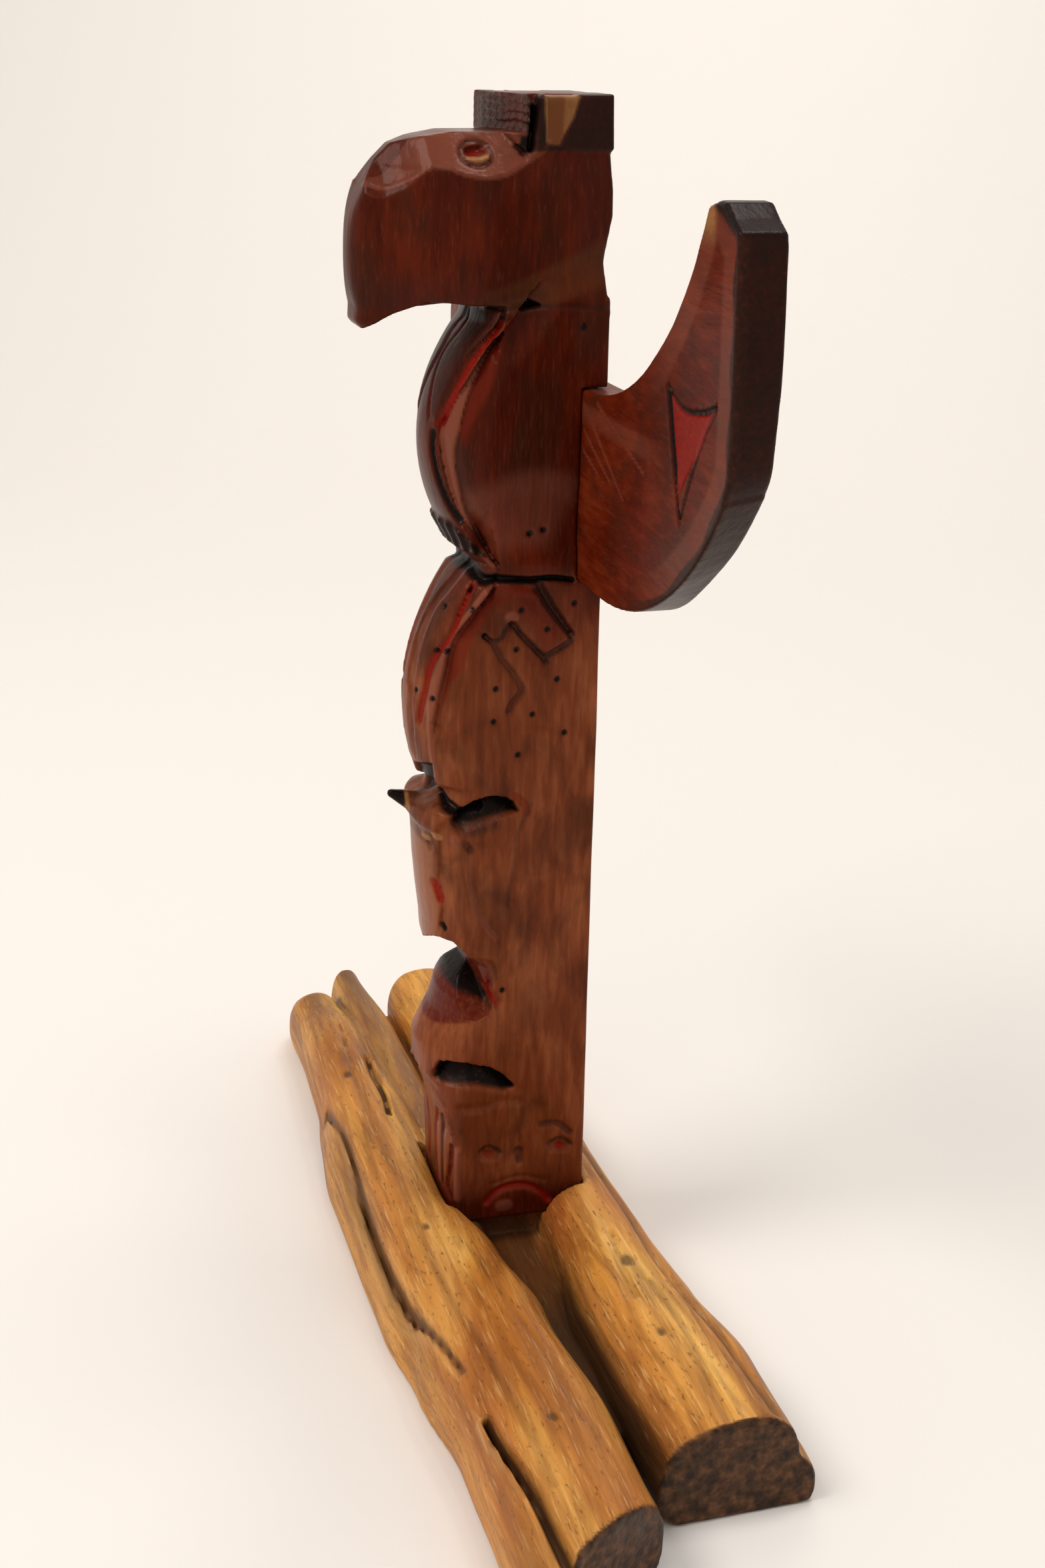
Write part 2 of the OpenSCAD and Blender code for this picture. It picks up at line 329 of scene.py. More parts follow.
def front_plan(h):
    """Where the front starts to round, how far it then reaches, and how square it is."""
    depth = front_depth(h)
    middle = 8.0 + 0.35 * np.clip(depth - 13.3, 0.0, 16.0)
    chin = 0.4 * smoothstep(46.0, 54.0, h) * smoothstep(72.0, 66.0, h)
    power = 4.0 - 1.85 * smoothstep(28.0, 46.0, h) - chin
    return middle, np.maximum(depth - middle, 1.0), power


def body_shape(x, y, z):
    """Flat flanks and back, with an oval front that follows the side profile."""
    h = z - SEAT_Z
    middle, reach, power = front_plan(h)
    forward = np.maximum(-y - middle, 0.0)
    oval = ((np.abs(x) / HALF_W) ** power + (forward / reach) ** power) ** (1.0 / power)
    front = (oval - 1.0) * np.minimum(HALF_W, reach + 2.0)
    flank = np.abs(x) - HALF_W
    plan = np.where(forward > 0.0, front, flank)
    back = y - POLE_BACK
    ends = np.maximum(-h, h - NECK_H - 3.0)
    return smooth_max(smooth_max(plan, back, 0.9), ends, 0.6)


def skin_place(x, y, z):
    """The skin layout (w, h) of any point near the pole's surface."""
    h = z - SEAT_Z
    middle, reach, _ = front_plan(h)
    forward = np.maximum(-y - middle, 0.0)
    turn = math.pi / 2 - np.arctan2(np.abs(x) / HALF_W, forward / reach)
    below_head = h < NECK_H + 0.5
    on_beak = below_head & (-y > front_depth(h) + 5.0) & (h > 235.0)
    w = np.where((forward > 0.0) & below_head, -middle - 16.0 * turn, y)
    return np.where(on_beak, y - 30.0, w), h


def head_outline():
    """Side outline of the head: hooked beak, brow, hat and the dip behind the neck."""
    beak_c = (BEAK_REACH - BEAK_R, 262.0)
    hat_front = HAT_DEPTH + HAT_SKEW * HALF_W
    return (
        [(-POLE_BACK, NECK_H - 1.0), (10.0, NECK_H + 0.6), (22.0, NECK_H + 1.6), (29.0, NECK_H + 0.9)]
        + [(34.0, NECK_H - 1.1), (38.0, NECK_H - 3.5), (41.2, NECK_H - 5.0), (42.8, NECK_H - 3.4)]
        + arc(beak_c, BEAK_R, -18.0, 36.0, 16)
        + [(33.5, 288.0), (28.0, 289.6), (20.0, 291.0), (12.0, 291.9), (hat_front, HAT_H + 2.0)]
        + [(hat_front, POLE_H - 0.2), (-POLE_BACK + 0.6, POLE_H), (-POLE_BACK + 0.2, 287.0)]
        + arc((-POLE_BACK - 45.0, 261.0), 46.4, 14.0, -13.0, 8)
    )


def hat_gap(x, y):
    """How far a point stands in front of the hat's front face, which is cut askew."""
    return -y - HAT_DEPTH + HAT_SKEW * x


def head_half(d, h):
    """Half the head's width at a depth: flat cheeks that narrow to a blunt beak."""
    tip = 8.6 - 1.4 * smoothstep(262.0, 246.0, h)
    return HALF_W + (tip - HALF_W) * smoothstep(10.0, BEAK_REACH, d) ** 1.25


def head_plan(x, y, z):
    """Seen from above: straight cheeks, closed by half an oval at the beak's tip."""
    d = -y
    tip_length = 7.5
    tip_start = BEAK_REACH - tip_length
    side = (np.abs(x) - head_half(d, z - SEAT_Z)) * 0.93
    tip_half = head_half(tip_start, z - SEAT_Z)
    oval = np.hypot(x / tip_half, (d - tip_start) / tip_length)
    return np.where(d > tip_start, (oval - 1.0) * tip_length, side)


# Lower edges of the crown's facets and the line that parts them, as (depth, height).
EYE_FACET = [(-2.0, 289.5), (0.4, 286.6), (4.1, 284.2), (8.7, 281.7), (13.3, 280.9), (17.9, 281.5),
             (20.7, 282.3)]
FRONT_FACET = [(26.2, 282.9), (28.0, 282.1), (31.8, 279.6), (36.4, 278.0), (41.0, 278.8), (46.0, 278.0)]
FACET_SPLIT = [(282.3, 20.7), (283.3, 23.5), (285.0, 25.8), (287.3, 28.5), (291.0, 33.0)]


def crown_bevel(x, y, z):
    """The two facets that bevel the top of the head down to the eyes."""
    h = z - SEAT_Z
    d = -y
    half = head_half(d, h)
    fall = line_at(EYE_FACET + FRONT_FACET, d)
    past_split = np.clip(d - line_at(FACET_SPLIT, h), 0.0, 14.0)
    slope = 0.88
    tilt = ((np.abs(x) - half) + slope * (h - fall)) / math.hypot(1.0, slope)
    facet_end = 4.0 + 0.75 * np.clip(h - 286.0, 0.0, 5.0)
    return np.minimum(tilt + 0.10 * past_split, 1.2 * (d - facet_end))


def carve_head(pole):
    """Joins the head to the body, with its hat's face cut askew."""
    low, high = (-30, -50, NECK_H + SEAT_Z - 8), (30, 25, POLE_BOX[1][2] + 5)
    outline = head_outline()

    def head(x, y, z):
        side = outline_distance(outline, -y, z - SEAT_Z)
        blunt = smooth_max(smooth_max(side, head_plan(x, y, z), 1.2), crown_bevel(x, y, z), 0.5)
        hat_face = np.where(z - SEAT_Z > HAT_H + 1.2, hat_gap(x, y), -9.0)
        return smooth_max(blunt, hat_face, 0.4)

    pole.join(head, low, high, 0.6)


# ---- carving tools on the pole's skin -------------------------------------------------

def corners(points, margin):
    """The lowest and highest corners of some points, moved out by a margin."""
    low = np.min(points, axis=0) - margin
    high = np.max(points, axis=0) + margin
    return low, high


def groove(pole, points, width, depth, paint=None, strength=1.0, beyond=0.0, sharp=1.0, end_width=None):
    """A V cut along a path of (w, h) points; width is half the cut's width."""
    path = spline(points)
    widths = (width, end_width or width)
    low, high = corners(path, max(widths) + 0.5)

    def ratio(w, h):
        return stroke_distance(path, widths, w, h)

    pole.relief(lambda w, h: depth * np.clip(1.0 - ratio(w, h), 0.0, 1.0) ** sharp, low, high, beyond)
    if paint:
        pole.tint(paint, lambda w, h: strength * smoothstep(1.05, 0.55, ratio(w, h)), beyond)


def ledge(pole, points, width, depth, side=1, beyond=0.0):
    """A step along a path: the skin drops on one side and ramps back over the width."""
    path = spline(points)
    low, high = corners(path, width + 1.0)

    def drop(w, h):
        gap = side * side_distance(path, w, h)
        return depth * smoothstep(-0.45, 0.35, gap) * np.clip(1.0 - gap / width, 0.0, 1.0)

    pole.relief(drop, low, high, beyond)


def region(pole, outline, depth, soft=0.6, paint=None, strength=1.0, beyond=0.0):
    """Sinks (or raises) the inside of an outline, and may paint it."""
    low, high = corners(outline, soft + 0.5)

    def inside(w, h):
        return smoothstep(soft, -soft, outline_distance(outline, w, h))

    if depth:
        pole.relief(lambda w, h: depth * inside(w, h), low, high, beyond)
    if paint:
        pole.tint(paint, lambda w, h: strength * inside(w, h), beyond)


def scoop(pole, upper, lower, depth, paint=None, dark_from=0.3):
    """A hollow with a sharp upper wall, its floor rising to the skin at the lower line."""
    start, end = upper[0][0], upper[-1][0]

    def fill(w, h):
        top, floor = line_at(upper, w), line_at(lower, w)
        inside = smoothstep(0.35, -0.35, np.maximum(h - top, np.maximum(start - w, w - end)))
        return inside, np.clip((h - floor) / np.maximum(top - floor, 0.5), 0.0, 1.0)

    def relief(w, h):
        inside, rise = fill(w, h)
        return depth * inside * rise ** 0.7

    def shade(w, h):
        inside, rise = fill(w, h)
        return inside * smoothstep(dark_from - 0.12, dark_from + 0.12, rise)

    low, high = corners(upper + lower, 1.0)
    pole.relief(relief, low, high)
    if paint:
        pole.tint(paint, shade)


def dot(pole, w, h, radius=0.55):
    """A small punched dot, painted black."""
    groove(pole, [(w, h), (w + 0.1, h + 0.1)], radius + 0.4, 0.9, "black", sharp=0.6)


# ---- the pole's carving, from the throat down to the foot ---------------------------

LEAF_RIDGE = [(-3.6, 252), (-8.8, 245.9), (-14.8, 240.4), (-17.9, 234.2), (-19.3, 230.1), (-20.5, 225.1),
              (-21.2, 220.9), (-22.5, 216.6), (-22.4, 211.2), (-21.6, 205.7), (-21.1, 200.9), (-18.7, 196.3),
              (-15.5, 191.7)]
LEAF_EDGE = [(-3.6, 252), (-7.7, 246.5), (-14.7, 242), (-20.1, 233.7), (-23, 229.4), (-25.5, 225.4),
             (-28.3, 220.9), (-27.6, 214.7), (-26.2, 208.5), (-24.6, 203), (-21.9, 198.1), (-18.7, 194.5),
             (-16, 191.7)]


def carve_breast(pole):
    """The breast: a leaf with a painted sheen on each side of a dark lobe, and flanks that slant inward, with
    a painted reflection and a painted highlight low down.
    """
    # the long pointed leaf: a flat that falls from its ridge to the groove beside it, lightened by a painted
    # sheen
    ledge(pole, LEAF_EDGE, 8.0, 1.9, -1)
    ledge(pole, LEAF_RIDGE, 9.0, 0.9, -1)
    region(pole, LEAF_EDGE + LEAF_RIDGE[::-1], 0.0, 0.5, "pale", 0.9)
    groove(pole, [(-11.5, 246.9), (-15.8, 242.7), (-19.7, 238.1), (-22.9, 231.4), (-26.1, 225.3),
                  (-27.8, 222.2)], 1.3, 1.2, "red")
    groove(pole, [(-29.8, 219.8), (-30, 216.4), (-29, 211), (-27.3, 206.1), (-25.6, 202), (-23, 198.4)],
           1.3, 1.5, "black")
    # the dark lobe beside it, under the throat
    lobe_edge = [(-12.2, 249.3), (-20.3, 241.7), (-24.1, 236.5), (-26.6, 229.8), (-28.6, 223.3)]
    lobe_side = [(-32.2, 249.9), (-31.2, 244.6), (-34, 239), (-34, 233.9), (-33, 228.3), (-32, 223.5)]
    ledge(pole, lobe_edge, 3.2, 0.9, -1)
    groove(pole, lobe_side, 1.1, 0.9, "dark_red")
    region(pole, lobe_edge + lobe_side[::-1], -0.3, 1.0, "soot_and_shade", 0.75)
    # painted shadow cast by the beak's hook on the top of the breast, in black paint
    region(pole, [(-20, 247.5), (-20, 250.0), (-37, 250.0), (-37, 246)], 0.0, 0.6, "black", 0.85)
    # the flank beside the leaf glows red, and slants inward low down
    glow = [(-5.2, 249.7), (-7.7, 244.4), (-9.3, 240.4), (-11.9, 231.9), (-17.1, 223.6), (-19.3, 217.7)]
    region(pole, LEAF_RIDGE[:7] + glow[::-1], 0.0, 1.4, "ember", 0.8)
    slant = [(-21.4, 205.7), (-17.1, 206.4), (-10.5, 208.5), (-4.5, 210.8), (2.5, 211.4), (11.0, 209.5)]

    def inward(w, h):
        top = line_at(slant, w)
        return (1.1 * smoothstep(top + 1.0, top - 9.0, h) * smoothstep(187.0, 193.0, h)
                * smoothstep(-21.5, -17.0, w))

    pole.relief(inward, (-21.5, 187), (11.4, 214), 10.0)
    # a painted reflection: a pale band where the flank turns inward
    pole.tint("pale", lambda w, h: 0.45 * smoothstep(7.0, 1.0, np.abs(h - line_at(slant, w) + 4.0))
              * smoothstep(-21.0, -17.0, w) * smoothstep(12.0, 8.0, w))
    # a painted highlight: a broad pale patch low on the breast
    region(pole, [(-15, 195), (-13, 206), (-2, 209), (8, 208), (8, 200), (3, 192), (-11, 191)],
           0.0, 3.0, "pale", 0.38)
    for place in ((11.4, 246.1), (2.5, 196.0), (-1.0, 195.2)):
        dot(pole, *place, 0.6)


def carve_talons(pole):
    """The black toes, and the deep line that parts the bird from the figure below."""
    outline = [(-37.5, 197.4), (-27, 197.2), (-21.5, 194.1), (-15.9, 190.3), (-14.4, 189.7), (-25, 190.2),
               (-37.5, 190.2)]

    def toes(w, h):
        raised = -1.5 * smoothstep(0.6, -0.9, outline_distance(outline, w, h))
        return raised * (0.6 + 0.4 * np.cos(1.55 * w + 0.4))

    pole.relief(toes, (-38, 189), (-13.5, 198.5))
    region(pole, outline, 0.0, 0.5, "soot_and_shade")
    region(pole, outline, 0.0, 0.5, "black", 0.75)
    parting = [(-38, 185.9), (-30.8, 185.6), (-27, 185.5), (-21.8, 184.5), (-16.2, 183.5), (-10.7, 184.1),
               (-6.4, 184), (-0.8, 183.5), (4.9, 183.8), (10.3, 183)]
    groove(pole, parting, 2.3, 1.9, "black", end_width=0.9)
    groove(pole, [(w, h + 1.4) for w, h in parting[:6]], 2.6, 0.3, "soot_and_shade", 0.8, end_width=0.8)
    dot(pole, 12.6, 183.6)


def carve_belly(pole):
    """The second figure: a front strip, sweeping bands, shoulder and bent arm."""
    # front strip, and the two bands that sweep down from the shoulder
    strip_edge = [(-30, 185.3), (-31, 182), (-34, 176.9), (-35.7, 172.3), (-37.1, 167.8), (-36.6, 162.1),
                  (-36.6, 155.3), (-36, 153.5)]
    ledge(pole, strip_edge, 3.5, 0.8, -1)
    first_ridge = [(-26.7, 184.2), (-28.9, 178.9), (-31.6, 174.4), (-32.5, 168.4), (-33, 163.9), (-33, 157.9),
                   (-33.1, 150.2), (-32.7, 142.9), (-33.2, 136.6)]
    ledge(pole, first_ridge, 3.4, 0.9, 1)
    # a painted highlight along the first ridge
    groove(pole, first_ridge, 0.9, -0.35, "pale", 0.5)
    groove(pole, [(-20.3, 182), (-21.9, 174.3), (-23.1, 168.4), (-26.2, 164.1), (-27.8, 160.4),
                  (-28.5, 155.4), (-29.2, 151.4), (-30.4, 145.6)], 1.3, 1.2, "red", 0.9)
    band_left = [(-15.2, 181.8), (-19.1, 176.1), (-22.5, 169.9), (-24.6, 165.2), (-25.8, 159.4), (-27, 154.2),
                 (-27.4, 149.1), (-26.8, 146.1)]
    band_right = [(-12.4, 181.2), (-16.6, 176.3), (-21.2, 170.1), (-22.9, 165.1), (-23.4, 159.8),
                  (-24.2, 154.8), (-25.1, 148.8), (-25.5, 146.2)]
    # the second band is raised and lightened by a painted sheen
    region(pole, band_left + band_right[::-1], -0.8, 0.7, "pale", 0.95)
    recess_side = [(-6, 179.1), (-11.3, 176.4), (-12.6, 174.2), (-16.2, 169), (-17.5, 164.4), (-18.4, 160.6),
                   (-21.6, 157), (-24.7, 147.7)]
    ledge(pole, band_right, 6.5, 1.7, -1)
    region(pole, band_right + recess_side[::-1], 0.0, 0.6, "ember", 1.0)
    # shoulder, bent arm and paw
    groove(pole, [(-12.5, 181.6), (-8.3, 182.4), (-5.3, 183.2), (-2.3, 182.8), (0.8, 182.1), (1.6, 181.3)],
           0.8, -0.5)
    groove(pole, [(-9, 181.5), (-6.4, 181.2), (-3.7, 180.7), (-0.7, 180.3), (1.6, 179.1)],
           1.3, -0.5, "ember", 0.9)
    outer = [(1.6, 181.3), (3.5, 178.2), (5.5, 175.1), (7.9, 171.9), (10.3, 168.7)]
    groove(pole, outer, 2.2, 1.8, "soot_and_shade", end_width=1.4)
    groove(pole, [(10.3, 168.7), (10, 166.8), (6.9, 165.1), (3.9, 163.4)], 1.2, 0.9, "soot_and_shade")
    ledge(pole, outer, 5.0, 0.7, -1)
    inner = [(-5.1, 172.3), (-2.3, 168.7), (0.4, 165.9), (3.1, 163), (3.9, 161.8)]
    groove(pole, inner, 1.2, 1.2, "soot_and_shade")
    ledge(pole, inner, 4.0, 0.8, 1)
    groove(pole, [(-2.5, 177.5), (0.8, 174.3), (3.8, 170.4), (5.6, 167.6)], 3.6, -0.8, "ember", 0.5)
    low_line = [(-12.2, 169.3), (-9.9, 166.9), (-7.6, 162.9), (-4.8, 159.3), (-2.9, 156.1), (-2.4, 154.1),
                (-4.7, 151.2), (-5.8, 148.9)]
    groove(pole, low_line, 1.2, 0.8, "soot_and_shade", 0.6)
    ledge(pole, low_line, 5.0, 0.7, 1)
    groove(pole, [(-5.5, 172.3), (-6.9, 170.9), (-8.4, 168.7), (-10.3, 168), (-11.8, 168.9)],
           0.85, 0.8, "soot_and_shade", 0.9)
    # a painted highlight on a small raised bump
    groove(pole, [(-5.9, 174.2), (-5.2, 174.2)], 1.8, -0.6, "pale", 0.8)
    for place in ((-20.8, 180.5), (-28, 175.4), (-17.9, 176.4), (-3.2, 175.9), (10.9, 176.9), (3.7, 170.6),
                  (-26.8, 164.6), (-23.5, 165.2), (-12.7, 169.5), (-4.2, 165.5), (-32.1, 153.2),
                  (-25.9, 152.5), (-9.5, 155.4), (6.8, 157), (0.4, 147.9), (-10, 146.6), (9.1, 142.4),
                  (-3.3, 137.1)):
        dot(pole, *place)


def carve_middle_face(pole):
    """The long-nosed face: recess, crescent eye, the paw on its nose, nose and cheek."""
    # dark recess at the wrist, and the ridge that runs down beside it
    region(pole, [(-36.5, 131.5), (-27.2, 134.2), (-28.2, 127.9), (-36.5, 123)], 1.6, 0.6, "black", 0.95)
    # a painted highlight along the ridge
    groove(pole, [(-26.8, 146), (-26.6, 138), (-26.4, 133.7), (-26, 130.8), (-25.9, 126.4), (-24.4, 123.6)],
           1.0, -0.5, "pale", 0.7)
    groove(pole, [(-28.4, 125.2), (-26.6, 124.2), (-23.8, 123.0), (-19.8, 121.8)], 1.5, 1.5, "black")
    # the eye: a crescent hollow with a lit rim behind it
    upper = [(-21.5, 120.4), (-19.8, 122.6), (-16.8, 124.6), (-13, 125.7), (-9.4, 126.0), (-6.3, 125.5),
             (-4.0, 124.0), (-2.8, 121.6)]
    lower = [(-21.5, 118.4), (-20, 116.8), (-18.2, 116.2), (-14.6, 117.0), (-11.1, 118.2), (-7.6, 119.4),
             (-2.8, 121.2)]
    scoop(pole, upper, lower, 5.0, "black", 0.22)
    region(pole, [(-22, 120), (-21.5, 116.8), (-17, 115), (-12, 115.4), (-8, 117.4), (-8, 119.5)],
           0.5, 1.2, "soot_and_shade", 0.85)
    groove(pole, [(-3.9, 126), (-1.1, 123.3), (-0.4, 120.8)], 1.3, -0.5, "ember", 0.8)
    # the paw that rests on the nose
    paw = [(-38, 121.0), (-31, 122.4), (-28.4, 123.6), (-26, 123.2), (-21.5, 121.6), (-25.7, 115.4),
           (-30.2, 115.4), (-38, 117.4)]
    region(pole, paw, -1.7, 1.6)
    # painted glints on small raised bumps of the paw
    groove(pole, [(-26.2, 114.7), (-25.2, 114.3)], 1.3, -0.6, "bare_wood_and_glint", 0.9)
    groove(pole, [(-28.9, 111.4), (-28.3, 110.3)], 1.2, 0.8, "soot_and_shade", 0.8)
    # a painted highlight on a small raised bump
    groove(pole, [(-20.4, 114.1), (-19.8, 113.7)], 1.7, -0.7, "pale", 0.6)
    groove(pole, [(-17.6, 113.4), (-16.0, 111.4)], 1.5, 0.7, "soot_and_shade", 0.6)
    # the long nose: a front facet lightened by a painted sheen, its ridge, and a second ridge on the flank
    # with a painted highlight
    nose_ridge = [(-25.4, 110.4), (-25.5, 105.2), (-25.9, 101.4), (-25.0, 94.3), (-26.1, 90.1)]
    ledge(pole, nose_ridge, 8.0, 1.1, -1)
    flank_ridge = [(-16.8, 110.5), (-16.8, 106.5), (-16.1, 101.1), (-14.5, 95.6), (-11.3, 89.8), (-8.5, 85.8)]
    ledge(pole, flank_ridge, 6.0, 0.8, -1)
    groove(pole, flank_ridge, 1.0, -0.3, "pale", 0.45)
    front_facet = [(-38, 112), (-27.4, 111), (-26.8, 90), (-27.4, 81), (-38, 81)]
    region(pole, front_facet, 0.0, 1.0, "pale", 1.0)
    region(pole, front_facet, 0.0, 1.0, "bare_wood_and_glint", 0.25)
    groove(pole, [(-27.3, 100.6), (-26.4, 98.4), (-25.7, 96.2)], 1.9, 1.3, "red", 1.0, end_width=1.5)
    # a painted glint on a small raised bump at the top of the nose
    groove(pole, [(-30.8, 113.4), (-28.5, 113.0)], 1.0, -0.5, "bare_wood_and_glint", 0.7)
    groove(pole, [(-25.6, 88.2), (-25.0, 87.6)], 1.3, 1.0, "black")
    cheek = [(0.6, 123.2), (-2.4, 116.3), (-3, 112.7), (-3.2, 107.3), (-4.2, 102), (-4.8, 98.4), (-5.5, 95.5)]
    groove(pole, cheek, 0.9, 0.5, "soot_and_shade", 0.25)
    ledge(pole, cheek, 5.0, 0.5, -1)


# The open mouth seen from the side, as (depth, height).
MOUTH = [(19.1, 80.4), (14.2, 75.5), (11.8, 71.5), (9.4, 66.5), (10.2, 63.2), (13.5, 61.4), (31.0, 59.5),
         (31.0, 80.4)]


def carve_mouth(pole):
    """The open mouth under the long nose, cut in from both flanks."""
    def side_cut(x, y, z):
        h = z - SEAT_Z
        floor = HALF_W - 1.2 - 0.85 * (h - 60.0) - np.abs(x)
        lift = 0.42 * np.minimum(np.abs(x), 9.0) * smoothstep(66.0, 76.0, h)
        return smooth_max(outline_distance(MOUTH, -y, h - lift), floor, 0.8)

    pole.cut(side_cut, (-22, -34, SEAT_Z + 58), (22, -6, SEAT_Z + 86), 0.25)

    def inside(x, y, z, grow):
        return smoothstep(grow + 0.4, grow - 0.4, outline_distance(MOUTH, -y, z - SEAT_Z))

    pole.paint("black", lambda x, y, z: inside(x, y, z, 0.3) * smoothstep(22.0, 19.0, -y)
               * smoothstep(65.5, 68.0, z - SEAT_Z + 0.4 * (y + 14.0)))
    pole.paint("dark_red", lambda x, y, z: 0.85 * inside(x, y, z, 0.2) * smoothstep(78.0, 76.0, z - SEAT_Z))
    region(pole, [(-38, 57.0), (-30, 57.5), (-26, 58.6), (-16, 61.2), (-11, 64.0), (-14, 78), (-38, 77)],
           0.0, 0.6, "dark_red", 0.9)
    corner = [(-13.0, 74.2), (-9.8, 72.6), (-6.6, 67.0), (-7.8, 65.0), (-9.8, 66.6), (-13.4, 71.0)]
    region(pole, corner, 0.5, 1.4, "dark_red", 0.8, 12.0)
    groove(pole, [(-12.4, 73.0), (-9.6, 69.8), (-8.0, 66.2)], 0.8, 0.5, "red", 0.8, 12.0)
    dot(pole, -6.4, 70.3)


def carve_lowest_face(pole):
    """The lowest face, its nose and strips, and the small face on the flank."""
    # the upper crescent, all black, with a soft ledge under it
    upper = [(-27.5, 44.5), (-25.5, 48.1), (-22, 49.0), (-16.3, 49.0), (-9.7, 47.4), (-5.6, 44.6),
             (-2.4, 41.0)]
    lower = [(-27.5, 42.6), (-25.6, 41.4), (-18.1, 41.6), (-14.1, 41.8), (-5.5, 39.5), (-2.4, 40.4)]
    scoop(pole, upper, lower, 4.6, "black", 0.12)
    groove(pole, [(-1, 36.2), (-6.4, 36.8), (-11.3, 35.7), (-19.6, 35.2)], 1.8, 0.6)
    # the nose's lit ridge with its painted highlight, red strips, and painted highlights along the pale
    # corner and the ridges beside the strips
    ridge = [(-33.3, 42.1), (-29.7, 38.8), (-27, 36.2), (-24.6, 32.1), (-23.6, 27.5)]
    groove(pole, ridge, 1.3, -0.9, "pale", 0.8)
    ledge(pole, ridge, 5.0, 0.8, 1)
    groove(pole, [(-29.3, 30.8), (-32.4, 23), (-32.4, 13.5), (-30.3, 8.8)], 1.2, 1.2, "red", 0.7)
    groove(pole, [(-23.2, 22.7), (-23.8, 16), (-25.1, 9.6), (-23.9, 6.6)], 1.1, 1.1, "dark_red", 0.9)
    groove(pole, [(-26.6, 30.5), (-27.6, 20.0), (-27.6, 9.0)], 1.0, 0.8, "black", 0.7)
    groove(pole, [(-20.9, 22.2), (-21.2, 14.8), (-21.4, 7.0)], 1.5, -0.6, "pale", 0.85)
    groove(pole, [(-29.6, 26.0), (-30.0, 17.0), (-29.0, 9.0)], 1.2, -0.4, "pale", 0.7)
    groove(pole, [(-24.6, 34.0), (-24.4, 29.0), (-25.4, 24.0)], 1.2, -0.4, "pale", 0.8)
    # the small face on the flank: two eyes, brow, nose pit and a turned-down mouth
    for w, strength in ((-9.4, 0.6), (11.1, 1.0)):
        groove(pole, [(w - 1.6, 21.0), (w + 1.6, 20.4)], 2.2, 1.1, sharp=0.7)
        groove(pole, [(w - 0.5, 20.5), (w + 0.5, 20.2)], 1.2, 0.5, "red", strength)
        groove(pole, [(w - 3.2, 21.6), (w, 23.2), (w + 3.2, 20.8)], 0.8, 0.5, "soot_and_shade", 0.9)
    groove(pole, [(5.4, 28.1), (10, 28), (13.9, 24.7)], 1.2, 0.7, "soot_and_shade", 0.7)
    groove(pole, [(-0.9, 20.6), (-0.6, 17.4)], 1.8, 1.0, "soot_and_shade", 0.9, end_width=1.2)
    groove(pole, [(-10, 5.5), (-7.2, 8.4), (-3.8, 9.7), (1.2, 9.5), (5.5, 7), (8.1, 3.9)],
           1.4, 1.2, "red", 0.95)
    groove(pole, [(-8.2, 10.8), (-1.0, 12.6), (7.0, 10.4)], 1.2, 0.5)
    # a painted highlight on a small raised bump under the mouth
    groove(pole, [(-5.6, 3.9), (-4.2, 4.0)], 2.2, -0.4, "pale", 0.7)


def carve_claw(pole):
    """One black-tipped claw that stands out from the paws at the middle of the front."""
    root, tip = (0.0, -25.8, SEAT_Z + 119.5), (0.0, -32.9, SEAT_Z + 122.6)

    def claw(x, y, z):
        return (stroke_distance([root, tip], (3.4, 1.1), x, y, z) - 1.0) * 1.3

    pole.join(claw, (-6, -35, SEAT_Z + 114), (6, -20, SEAT_Z + 130), 0.8)
    pole.paint("black", lambda x, y, z: smoothstep(29.4, 30.0, -y) * smoothstep(112.0, 116.0, z - SEAT_Z)
               * smoothstep(134.0, 130.0, z - SEAT_Z))
    pole.paint("bare_wood_and_glint", lambda x, y, z: smoothstep(28.4, 29.0, -y) * smoothstep(30.0, 29.4, -y)
               * smoothstep(118.0, 119.5, z - SEAT_Z) * smoothstep(128.0, 126.5, z - SEAT_Z)
               * (np.abs(x) < 4.0) * 0.8)


# ---- the head's carving: here w is simply minus the depth -----------------------------

def carve_eye(pole):
    """An incised ring round a sunk red eye with a lit lower rim."""
    ring = [(-15.0 + 3.9 * math.cos(a), 286.2 + 2.8 * math.sin(a)) for a in np.linspace(0.0, 2 * math.pi, 11)]
    groove(pole, ring, 0.65, 0.8, "soot_and_shade", 0.7, 5.0)
    groove(pole, [(-16.8, 286.6), (-13.4, 287.1)], 1.4, 1.7, "dark_red", 1.0, 5.0, 0.6)
    groove(pole, [(-16.2, 286.3), (-14.0, 286.5)], 0.6, 0.3, "red", 0.6, 5.0)
    # a painted glint along the eye's lower rim
    groove(pole, [(-17.0, 285.3), (-14.7, 284.9), (-12.6, 285.5)], 0.7, -0.6, "bare_wood_and_glint", 0.7, 5.0)


def carve_crown(pole):
    """Pale edges along the crown's facets, and the light that they catch."""
    for facet in (EYE_FACET, FRONT_FACET):
        line = [(-d, h) for d, h in facet]
        groove(pole, line, 0.6, -0.25, "pale", 0.5, 5.0)

    def facet_shine(w, h):
        fall = line_at(EYE_FACET + FRONT_FACET, -w)
        nearer = 0.75 - 0.40 * smoothstep(-22.0, -34.0, w)
        return (nearer * smoothstep(-0.3, 0.9, h - fall) * smoothstep(HAT_H + 2.0, HAT_H, h)
                * smoothstep(0.0, -2.0, w))

    pole.tint("pale", facet_shine, 6.0)


